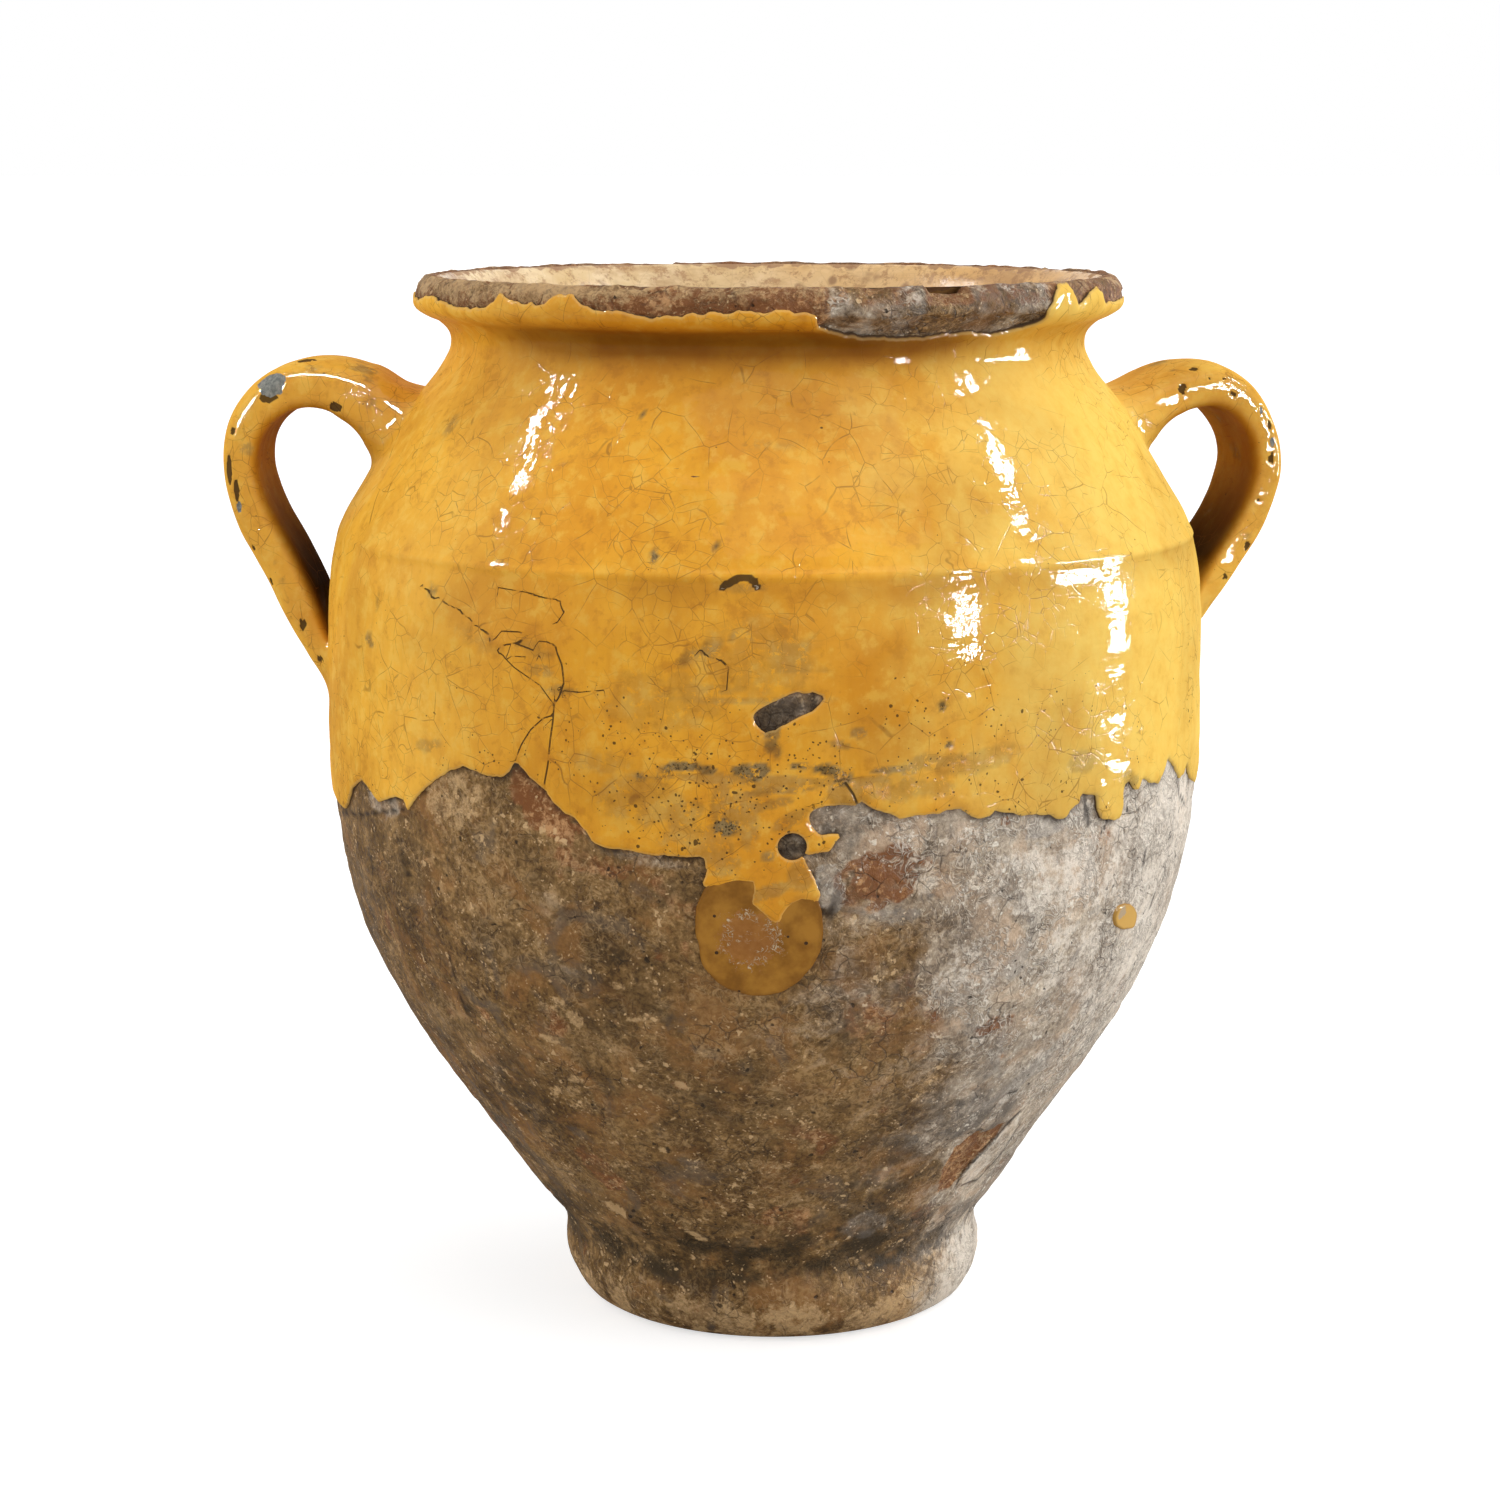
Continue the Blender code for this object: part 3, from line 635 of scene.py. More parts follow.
def bowl_paint(flat):
    """How grey, rusty, sooty and pale the bare clay is, each from 0 to 1. The sooty value also darkens a band
    round the waist above the foot, and the pale on the right is partly painted light.
    """
    rightward, up_it = to_the_right(bowl_wall[:, 0]), bowl_wall[:, 1]
    height = flat[:, 2]
    blotch = clouds(flat, 34, 41, 4)
    fine = clouds(flat, 9, 47, 3)
    right_side = between(65, 125, rightward + 24 * fine)
    foot = 1 - between(9, 19, height)
    painted = {
        "grey": np.maximum(between(-2, 84, rightward + 26 * blotch + 0.5 * (up_it - run_at(120))),
                           0.12 * between(0.25, 0.8, blotch + 0.4 * fine)),
        "rust": 0.5 * between(0.35, 0.8, clouds(flat, 16, 53, 3)),
        # Random soot, and a dark band round the waist just above the foot.
        "soot_and_shade": 0.6 * between(0.1, 0.75, clouds(flat * (1, 1, 1.5), 30, 61, 4) + 0.3)
                + 1.6 * band(17, 22, 28, 46, height),
        # Paler on the right, partly the skin's own colour and partly painted light, and paler round the foot.
        "pale": right_side * (between(50, 115, height) + 0.95 * (1 - between(18, 30, height)))
                + 0.98 * foot * between(-0.55, 0.1, fine),
    }
    ragged = 1.1 + 0.9 * clouds(flat, 5, 63, 3)
    for kind, marks in CLAY_MARKS:
        for *oval, strength in marks:
            mark = between(0.25, 0.65, spot(bowl_wall, *oval) * ragged)
            painted[kind] = painted[kind] + strength * mark
            if kind == "pale":
                painted["soot_and_shade"] = painted["soot_and_shade"] * (1 - 0.8 * mark)
    for ring, values in ((RED_SCAR, (0.1, 1.0, 0.1, 0.0)), (PALE_PLATE, (0.75, 0.0, 0.0, 1.5))):
        flake = within(bowl_wall, on_wall(ring))
        for kind, value in zip(("grey", "rust", "soot_and_shade", "pale"), values):
            painted[kind] = np.where(flake, value, painted[kind])
    return {name: np.clip(value, 0, 1.5) for name, value in painted.items()}


bowl = turned_piece("thrown_bowl", bowl_line, bowl_turns, bowl_depth, bowl_paint)


def bare_clay(name, pieces, rugged=1.0):
    """Weathered earthenware: coarse and brown, greyer to the right, with raised pale threads and dark pits."""
    clay = Recipe(name)
    swayed = clay.swayed(6, 4.0)
    middle = clay.noise(8, 6, 0.68, 0.5)
    fine = clay.noise(1.6, 5, 0.70, 0.4)
    tone = clay.noise(30, 6, 0.60) * 0.28 + middle * 0.28 + fine * 0.44
    low_tone, high_tone = tone.ease(0.42, 0.515), tone.ease(0.50, 0.60)
    greyer = (clay.painted("grey") + middle.ease(0.3, 0.7, -0.20, 0.20)).ease(0.08, 0.92)

    def graded(dark, plain, light):
        return clay.mix(high_tone, clay.mix(low_tone, dark, plain), light)

    def either(brown, grey):
        return clay.mix(greyer, brown, grey)

    clay.color = either(graded((0.085, 0.043, 0.014), (0.215, 0.118, 0.040), (0.420, 0.250, 0.100)),
                        graded((0.245, 0.188, 0.135), (0.47, 0.375, 0.275), (0.76, 0.645, 0.50)))
    clay.tint(clay.noise(17, 5, 0.62, 0.6).ease(0.49, 0.64) * 0.55,
              either((0.330, 0.150, 0.045), (0.66, 0.45, 0.29)))
    clay.tint(clay.noise(23, 5, 0.64, 0.8).ease(0.46, 0.36) * 0.50,
              either((0.120, 0.098, 0.076), (0.36, 0.335, 0.305)))
    clay.tint((clay.painted("rust") + middle.ease(0.3, 0.7, -0.3, 0.3)).ease(0.25, 0.7),
              clay.mix(high_tone, (0.22, 0.082, 0.026), (0.56, 0.30, 0.13)))
    # Soot, and on the lip the painted shade under its roll.
    clay.tint(clay.painted("soot_and_shade") * clay.noise(9, 5, 0.7).ease(0.34, 0.62) * 0.68,
              either((0.055, 0.036, 0.017), (0.17, 0.140, 0.112)))
    pale = clay.mix(low_tone, either((0.340, 0.205, 0.090), (0.50, 0.42, 0.335)),
                    either((0.61, 0.395, 0.190), (0.80, 0.71, 0.60)))
    # The painted pale: paler skin and flakes, and partly painted light on the bowl's right and the lip's crest.
    paler = clay.painted("pale") + clay.noise(2.4, 6, 0.74).ease(0.3, 0.7, -0.50, 0.50)
    clay.tint(paler.ease(0.30, 1.05) * 0.85, pale)
    clay.tint(clay.noise(3.2 + 1.8 / rugged, 6, 0.75).ease(0.43, 0.35) * 0.45,
              either((0.050, 0.030, 0.013), (0.17, 0.135, 0.105)))
    clay.tint(clay.noise(6, 6, 0.78).ease(0.56, 0.66) * clay.noise(40, 3).ease(0.40, 0.60) * 0.65, pale)
    # Threads: the lines along which noise passes its middle value wind about like the raised skin of the clay.
    # A darker line beside each is painted shade at the thread's foot.
    threads, thread_shades = [], []
    for size, bend, half_width in ((6.2, 1.4, 0.036), (3.3, 1.0, 0.050)):
        off = abs(clay.noise(size, 1.5, 0.5, bend, swayed) - 0.5)
        threads.append(off.ease(half_width, 0.004))
        thread_shades.append(off.ease(half_width, half_width * 1.35) * off.ease(half_width * 2.4, half_width * 1.6))
    gathered = clay.noise(13, 4, 0.62).ease(0.42, 0.55) * greyer.ease(0.15, 0.75, 0.42, 1.0)
    gathered = gathered * clay.painted("soot_and_shade").ease(0.3, 1.3, 1.0, 0.3)
    thread = (threads[0] | threads[1] * 0.75) * gathered
    thread_shade = (thread_shades[0] | thread_shades[1] * 0.6) * gathered
    # Painted shade along the sides of the raised threads.
    clay.tint(thread_shade * 0.55, either((0.055, 0.034, 0.016), (0.165, 0.130, 0.098)))
    clay.tint(thread * 0.80, pale)
    fleck = clay.cells(1.7, place=clay.swayed(2, 2.0)).ease(0.26, 0.12)
    flake = clay.cells(4.2, place=clay.swayed(2.5, 5.0)).ease(0.26, 0.17)
    fleck = fleck * clay.noise(6, 4, 0.65).ease(0.48, 0.56) | flake * clay.noise(12, 4, 0.65).ease(0.52, 0.58)
    clay.tint(fleck * 0.80, either((0.70, 0.46, 0.23), (0.86, 0.79, 0.67)))
    pit_size = clay.noise(7, 3).ease(0.46, 0.72, -0.05, 0.34)
    pits = (pit_size - clay.cells(3.0, place=clay.swayed(3, 2.6))).ease(0.0, 0.12)
    clay.tint(pits * 0.82, (0.030, 0.019, 0.010))
    cracked = clay.cells(5.5, "DISTANCE_TO_EDGE", swayed).ease(0.045, 0.0) * clay.noise(14, 3).ease(0.50, 0.62)
    clay.tint(cracked * 0.55, (0.045, 0.030, 0.018))
    # Painted shadow under the glaze's broken edge, and the dark chip, hole and crevices.
    clay.tint(clay.painted("shade"), (0.030, 0.018, 0.010))
    height = fine * 0.55 + middle * 1.0 + thread * 0.36 + fleck * 0.14 - pits * 0.45 - cracked * 0.25
    clay.finish(fine.ease(0.3, 0.7, 0.48, 0.82), height, rugged, pieces, Specular_IOR_Level=0.10)


bare_clay("weathered_clay", [bowl])
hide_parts("lower_section")
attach(bowl, "root")

# The shoulder, neck and lip. Thrown as a second piece in the same clay and luted onto the bowl, which left a
# raised line round the pot. The lip is rolled outwards, and its glaze has worn and chipped away to the clay.
LIP_STEP = 0.72
LIP_LEAN = 1.5
lip_start = outer_place(281)
lip_end = inner_place(283)
lip_part = whole_line[base_place + lip_start : lip_end + 1]
shoulder_line = np.vstack([
    spaced(outer_line[outer_place(JOIN_HEIGHT) : lip_start + 1], 15)[:-1],
    evened(lip_part, np.arange(0, run_of(lip_part)[-1], LIP_STEP)),
    spaced(whole_line[lip_end : join_inside + 1], 14),
])
shoulder_turns = turns_round(0.85, 1.5, 100)
shoulder_wall = wall_places(shoulder_turns, run_at(shoulder_line[:, 1]))
# The worn part of the lip in the picture's front: where the grey scar starts and ends, and the nick in its crest.
SCAR_START, SCAR_END = on_wall([(822, 300), (1050, 300)])[:, 0]
NICK_START, NICK_END = on_wall([(926, 290), (972, 290)])[:, 0]
CREST_RADIUS = whole_line[crest_place, 0]


def shoulder_depth(flat):
    round_it = shoulder_wall[:, 0]
    height = flat[:, 2]
    radius = np.hypot(flat[:, 0] - LIP_LEAN, flat[:, 1])
    inside = between(CREST_RADIUS - 0.3, CREST_RADIUS - 2.5, radius)
    on_lip = between(284, 290, height) * (1 - 0.85 * inside)
    layers = 0.42 * clouds(flat * (0.35, 0.35, 2.0), 4, 77, 3) + 0.25 * clouds(flat, 2.6, 87, 2)
    worn = 0.34 * clouds(flat, 9, 71, 4) + layers - 0.15
    chips = -0.8 * between(0.34, 0.62, clouds(flat, 11, 79, 3)) * between(292, 298, height)
    scar = band(SCAR_START, SCAR_START + 3, SCAR_END - 3, SCAR_END, round_it)
    scar = scar * between(281, 286, height) * between(90, 92, radius) * (1 - between(299.4, 300, height))
    ledge = 0.45 * scar * between(292.5, 290.5, height + 1.2 * clouds(flat, 6, 85, 3))
    nick = band(NICK_START, NICK_START + 3, NICK_END - 3, NICK_END, round_it) * between(294.5, 299.0, height)
    return on_lip * (worn + chips - 0.25) - 0.3 * scar * (1 + clouds(flat, 7, 83, 3)) - ledge - 1.9 * nick


def shoulder_paint(flat):
    """The worn lip: warm tan at its crest, paler there partly from wear and partly as a painted highlight where
    it faces up, painted shade along its lower edge under the roll, sooty in places, and brown-grey in the scar.
    """
    round_it = shoulder_wall[:, 0]
    height = flat[:, 2]
    radius = np.hypot(flat[:, 0] - LIP_LEAN, flat[:, 1])
    scar = band(SCAR_START - 2, SCAR_START + 4, SCAR_END, SCAR_END + 5, round_it)
    fine = clouds(flat, 7, 91, 4)
    rightward = to_the_right(round_it)
    right_end = between(SCAR_END, SCAR_END + 12, rightward)
    grey = np.clip(scar * (0.42 + 0.5 * fine) + 0.5 * right_end, 0, 1)
    rust = (1 - scar) * (1.15 + 0.5 * fine - 0.3 * right_end) + 0.45 * scar * between(293, 296, height)
    # Darker along the lower edge: painted shade under the rolled lip.
    low_edge = 0.8 * between(292.0, 288.0, height + 2.6 * fine)
    soot_and_shade = (1 - scar) * low_edge + 0.35 * scar + 0.5 * between(0.15, 0.7, fine) * between(0, 40, -rightward)
    left_end = between(-30, -75, rightward)
    # Paler at the crest: wear, and a painted highlight where the crest faces up.
    crest = between(294, 299.5, height) + 0.4 * left_end
    pale = np.clip(crest * (0.65 + 0.6 * left_end + 0.8 * fine) * (1 - 0.4 * scar), 0, 1.1)
    dark_line = between(CREST_RADIUS + 0.2, CREST_RADIUS - 0.8, radius) * between(297, 299, height)
    soot_and_shade = np.maximum(np.clip(soot_and_shade, 0, 1), 0.75 * dark_line * between(-0.2, 0.2, fine))
    scratches = between(0.2, 0.55, clouds(flat * (0.5, 0.5, 2.0), 3, 89, 3))
    soot_and_shade = np.clip(soot_and_shade + (1 - scar) * 0.6 * scratches, 0, 1)
    nick = band(NICK_START - 2, NICK_START + 2, NICK_END - 2, NICK_END + 2, round_it)
    return {
        "grey": grey * (1 - nick) * (0.3 + 0.7 * scar),
        "rust": np.maximum(np.clip(rust, 0, 1), 1.2 * nick * between(293.5, 296.0, height)),
        "soot_and_shade": soot_and_shade * (1 - nick),
        "pale": np.maximum(pale * (1 - 0.7 * dark_line), 0.5 * nick),
    }


shoulder = turned_piece("thrown_shoulder", shoulder_line, shoulder_turns, shoulder_depth, shoulder_paint,
                        closed=True)
bare_clay("worn_lip_clay", [shoulder], 1.8)
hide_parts("upper_section")
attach(shoulder, "root")

# The yellow glaze. One thick lead glaze, poured over the upper half and both handles, that ran at the front.
# It lies about a millimetre proud, glossy and crazed, and has flaked along its lower edge and off the lip.
GLAZE = 0.8
# The lower edge as seen, from left to right. It turns back on itself beside the run.
LOWER_EDGE = [
    (330, 700), (334, 790), (345, 809), (349, 800), (352, 787), (361, 780), (368, 786), (379, 802), (396, 796),
    (404, 800), (408, 812), (412, 803), (421, 791), (434, 780), (450, 771), (463, 766), (476, 771), (490, 776),
    (503, 777), (510, 771), (516, 761), (523, 769), (534, 780), (545, 789), (556, 804), (566, 813), (576, 817),
    (585, 829), (594, 842), (606, 847), (632, 851), (650, 855), (679, 856), (704, 857), (707, 870), (703, 884),
    (709, 888), (722, 886), (737, 882), (754, 881), (754, 892), (751, 902), (758, 908), (768, 917), (778, 925),
    (783, 912), (790, 903), (800, 899), (811, 901), (815, 905), (820, 893), (813, 876), (803, 854), (812, 852),
    (828, 851), (835, 842), (841, 834), (818, 834), (811, 826), (809, 815), (811, 811), (820, 806), (840, 804),
    (853, 805), (861, 801), (872, 808), (886, 812), (900, 818), (914, 814), (940, 812), (945, 809), (959, 808),
    (967, 814), (975, 818), (987, 816), (993, 810), (1007, 812), (1021, 815), (1031, 814), (1049, 814),
    (1053, 818), (1063, 818), (1068, 809), (1077, 801), (1078, 793), (1093, 795), (1095, 809), (1099, 818),
    (1108, 820), (1117, 817), (1120, 805), (1121, 784), (1127, 779), (1132, 789), (1136, 789), (1140, 778),
    (1150, 783), (1157, 783), (1163, 766), (1166, 757), (1172, 766), (1178, 778), (1182, 774), (1185, 762),
    (1189, 778), (1193, 783), (1196, 760), (1198, 700),
]
# The upper edge as seen, along the worn lip and round the grey scar.
UPPER_EDGE = [
    (425, 297), (432, 296), (451, 305), (464, 309), (484, 307), (496, 301), (501, 293), (508, 300), (520, 305),
    (533, 302), (540, 307), (550, 300), (556, 296), (573, 296), (579, 302), (591, 309), (612, 311), (630, 313),
    (642, 317), (663, 319), (681, 316), (706, 314), (732, 312), (757, 312), (783, 311), (803, 312), (816, 312),
    (818, 326), (833, 333), (856, 336), (890, 338), (922, 337), (941, 334), (964, 332), (987, 334), (1003, 332),
    (1023, 326), (1040, 320), (1047, 310), (1053, 297), (1057, 286), (1064, 284), (1069, 292), (1075, 302),
    (1081, 301), (1088, 291), (1095, 288), (1101, 297), (1103, 303), (1108, 303),
]
DARK_CHIP = [
    (753, 716), (756, 711), (761, 707), (767, 704), (774, 701), (783, 697), (792, 693), (798, 691), (803, 693),
    (809, 693), (813, 691), (818, 694), (825, 696), (822, 701), (818, 705), (812, 711), (804, 714), (798, 717),
    (792, 720), (786, 724), (780, 726), (776, 730), (770, 731), (764, 733), (759, 728), (755, 723),
]
HOLE_SEEN = (792, 846)
HOLE_RADIUS = 3.6
BACK_EDGE_HEIGHT = 160
BACK_LIP_HEIGHT = 292.5


def all_round(front, default, seed, ups):
    """Continues an edge seen in front round the back of the pot, with ragged steps of its own."""
    sides = []
    for round_it, end in ((np.arange(-HALF_ROUND, front[0, 0] - 4, 3.4), front[0, 1]),
                          (np.arange(front[-1, 0] + 4, HALF_ROUND, 3.4), front[-1, 1])):
        angle = round_it / AROUND
        ring = np.stack([60 * np.sin(angle), -60 * np.cos(angle), np.zeros_like(angle)], axis=1)
        level = default + ups * (1.2 * clouds(ring, 22, seed, 2) + 0.7 * clouds(ring, 5, seed + 5, 2))
        sides.append(np.stack([round_it, level], axis=1))
    return np.vstack([sides[0], front, sides[1]])


lower_edge = all_round(on_wall(LOWER_EDGE)[1:-1], float(run_at(BACK_EDGE_HEIGHT)), 3, 6.0)
upper_edge = all_round(on_wall(UPPER_EDGE), float(run_at(BACK_LIP_HEIGHT)), 8, 1.6)
dark_chip = on_wall(DARK_CHIP)
hole_middle = on_wall(HOLE_SEEN)[0]


def past_line(wall, line, ring):
    """The distance from a line, up to 9 mm, and negative within the ring."""
    return np.minimum(edge_distance(wall, line), 9) * np.where(within(wall, ring), -1, 1)


def closed_off(line, level):
    """A ring of the line and all that lies between it and a level far up or down the wall."""
    far = 2 * HALF_ROUND
    return np.vstack([(-far, level), (-far, line[0, 1]), line, (far, line[-1, 1]), (far, level)])


def glaze_cover(wall, flat):
    """How far inside the glaze each place lies, in mm along the wall, negative where the clay is bare."""
    rough = 0.35 * grain(flat, 2.6, 111) + 0.25 * grain(flat, 1.3, 113)
    cover = past_line(wall, lower_edge, closed_off(lower_edge, -50))
    top_cover = past_line(wall, upper_edge, closed_off(upper_edge, 999))
    cover = np.minimum(cover + rough, top_cover + 1.8 * rough + 0.5 * grain(flat, 4.5, 115))
    chipped = past_line(wall, np.vstack([dark_chip, dark_chip[:1]]), dark_chip)
    hole = np.linalg.norm(wall - hole_middle, axis=1) - HOLE_RADIUS
    return np.minimum(np.minimum(cover, chipped + 0.5 * rough), np.minimum(hole, 9))


# The glaze's mesh is fine from GLAZE_LOW to FINE_TO, across the ridge and from LIP_FROM up, and coarse between.
GLAZE_LOW = 134
FINE_TO = 204
RIDGE_FROM = 223
RIDGE_TO = 232.5
LIP_FROM = 278
FINE_STEP = 0.8
COARSE_STEP = 2.2
glaze_turns = turns_round(0.84, 1.7, 125)
glaze_steps = [np.arange(run_at(GLAZE_LOW), run_at(FINE_TO), FINE_STEP)]
is_coarse = [np.zeros(len(glaze_steps[0]), bool)]
for end, wide in ((run_at(RIDGE_FROM), True), (run_at(RIDGE_TO), False), (run_at(LIP_FROM), True),
                  (outer_run[-1] - 0.3, False)):
    glaze_steps.append(np.arange(glaze_steps[-1][-1] + FINE_STEP, end, COARSE_STEP if wide else FINE_STEP))
    is_coarse.append(np.full(len(glaze_steps[-1]), wide))
glaze_steps, is_coarse = np.concatenate(glaze_steps), np.concatenate(is_coarse)
glaze_places, glaze_out = turned_places(evened(outer_line, glaze_steps, outer_run), glaze_turns)
glaze_wall = wall_places(glaze_turns, glaze_steps)
cover = glaze_cover(glaze_wall, glaze_places)
seam = (np.abs(glaze_wall[:, 0]) > AROUND * 3.1) & (np.abs(cover) < 1)
cover[seam] = 1.0
grid = np.arange(len(cover)).reshape(len(glaze_steps), len(glaze_turns))


def snap_to_edge(values, cover):
    """Moves the places nearest the glaze's edge onto it, so that the edge is a clean line and not steps."""
    pull = np.full(len(cover), 9.0)
    target = np.arange(len(cover))
    fine = ~is_coarse
    both = fine[:-1] & fine[1:]
    beside = np.roll(grid, -1, axis=1)
    pairs = [(grid[:-1][both].ravel(), grid[1:][both].ravel()), (grid[fine].ravel(), beside[fine].ravel())]
    for first, second in pairs:
        for near, far in ((first, second), (second, first)):
            crossing = (cover[near] * cover[far]) < 0
            near, far = near[crossing], far[crossing]
            share = cover[near] / (cover[near] - cover[far])
            better = (share <= 0.5) & (share < pull[near])
            pull[near[better]] = share[better]
            target[near[better]] = far[better]
    moved = pull < 1
    share = pull[moved][:, None]
    snapped = values.copy()
    snapped[moved] = (1 - share) * values[moved] + share * values[target[moved]]
    return snapped, np.where(moved, 0.0, cover)


snapped, cover = snap_to_edge(np.hstack([glaze_places, glaze_out, glaze_wall]), cover)
glaze_places, glaze_out, glaze_wall = snapped[:, :3], snapped[:, 3:6], snapped[:, 6:]


def glaze_faces():
    """Faces over the covered places: small ones along the edges, larger ones between, with a row to join them."""
    faces = []
    for row, (low, high) in enumerate(zip(grid, grid[1:])):
        if is_coarse[row] or is_coarse[row + 1]:
            a, b, c = low[0::2], low[1::2], np.roll(low, -2)[0::2]
            d, e, f = high[0::2], high[1::2], np.roll(high, -2)[0::2]
            if is_coarse[row] and is_coarse[row + 1]:
                corners = np.stack([a, c, f, d], axis=1)
            elif is_coarse[row + 1]:
                corners = np.stack([a, b, c, f, d], axis=1)
            else:
                corners = np.stack([a, c, f, e, d], axis=1)
            faces += corners[(cover[corners] >= 0).all(axis=1)].tolist()
            continue
        quads = np.stack([low, np.roll(low, -1), np.roll(high, -1), high], axis=1)
        bare = cover[quads] < 0
        faces += quads[~bare.any(axis=1) & (cover[quads] > 0).any(axis=1)].tolist()
        for corner in range(4):
            some = quads[(bare.sum(axis=1) == 1) & bare[:, corner]]
            rest = np.roll(some, -corner, axis=1)[:, 1:]
            faces += rest[(cover[rest] > 0).any(axis=1)].tolist()
    return faces


def edge_pairs(faces):
    """The sides that only one face has, in that face's order."""
    count = {}
    for face in faces:
        for start, end in zip(face, face[1:] + face[:1]):
            count.setdefault((min(start, end), max(start, end)), []).append((start, end))
    return [sides[0] for sides in count.values() if len(sides) == 1]


coat_faces = glaze_faces()
rim = edge_pairs(coat_faces)
rim_places = sorted({place for side in rim for place in side})
tree = kdtree.KDTree(len(rim_places))
for number, place in enumerate(rim_places):
    tree.insert(glaze_places[place], number)
tree.balance()
to_edge = np.full(len(glaze_places), 6.0)
for place in {place for face in coat_faces for place in face}:
    if abs(cover[place]) < 8:
        to_edge[place] = min(6.0, tree.find(glaze_places[place])[2])


def ridge_swell(wall, flat):
    """The raised line where the shoulder was luted on, a little wavy, with a soft step under it."""
    wander = 0.5 * np.sin(wall[:, 0] / 47 + 0.5) + 0.45 * grain(flat, 24, 131)
    away = wall[:, 1] - run_at(JOIN_HEIGHT) - wander
    line = 0.55 * hump(away, 0, 0.95) - 0.22 * band(-9, -1.5, -1.5, 0.5, away)
    for handle in (math.radians(-91.5) * AROUND, math.radians(102.5) * AROUND):
        line = line * between(30, 48, np.abs(wall[:, 0] - handle))
    return line


def smear(wall):
    """A shallow arc pressed into the neck by a finger."""
    arc = on_wall([(640, 455), (700, 478), (770, 476), (830, 452)])
    return -0.5 * hump(edge_distance(wall, arc), 0, 2.0)


def coat_relief(wall, flat):
    """The wet glaze's own unevenness, over the pot's."""
    slow = 0.34 * clouds(flat, 38, 141, 2)
    ripple = 0.11 * grain(flat * (1, 1, 1.7), 11, 145) + 0.05 * grain(flat * (1, 1, 1.4), 5, 147)
    return slow + ripple + ridge_swell(wall, flat) + smear(wall)


proud = GLAZE * (0.72 + 0.28 * (1 - np.exp(-to_edge / 0.55))) + 0.2 * band(0.3, 1.6, 1.6, 6.0, to_edge)
glaze_top = glaze_places + glaze_out * (proud + coat_relief(glaze_wall, glaze_places))[:, None]

# Cracks drawn as seen: each is a line with its width in mm.
CRACKS = [
    ([(424, 583), (436, 596), (463, 612), (483, 630), (499, 650), (515, 667), (541, 685), (554, 703)], 0.28),
    ([(424, 583), (432, 592), (437, 597)], 1.2),
    ([(482, 629), (498, 638), (520, 644), (539, 652)], 0.35),
    ([(556, 647), (563, 665), (565, 682), (560, 697), (555, 704), (554, 718), (551, 740), (549, 762),
      (547, 775), (545, 789)], 0.42),
    ([(554, 715), (544, 718), (531, 730), (522, 745), (516, 761)], 0.34),
    ([(500, 588), (530, 593), (558, 600), (567, 610), (560, 620)], 0.22),
    ([(500, 632), (520, 633), (545, 642), (560, 648)], 0.2),
    ([(561, 690), (580, 692), (603, 690)], 0.25),
    ([(703, 652), (716, 659), (729, 664), (727, 690)], 0.25),
    ([(813, 805), (816, 815), (818, 822)], 0.5),
    ([(845, 783), (852, 793), (856, 803)], 0.6),
    ([(405, 812), (380, 812), (350, 815)], 0.4),
]


def drawn_cracks(wall):
    """How far each place lies beside the nearest drawn crack, in units of its half width, and how near it is."""
    best = np.full(len(wall), 9.0)
    side_on = np.full(len(wall), 9.0)
    for seen, width in CRACKS:
        line = on_wall(seen)
        for start, end in zip(line, line[1:]):
            along = end - start
            length = np.linalg.norm(along)
            along = along / length
            share = (wall - start) @ along
            off = (wall - start) @ np.array((-along[1], along[0]))
            gap = np.abs(off) + np.maximum(0, -share) + np.maximum(0, share - length)
            nearer = (gap < best) & (share > -0.6) & (share < length + 0.6)
            best = np.where(nearer, gap, best)
            side_on = np.where(nearer, off / (width / 2), side_on)
    return side_on, np.clip(1 - best / 2.6, 0, 1)


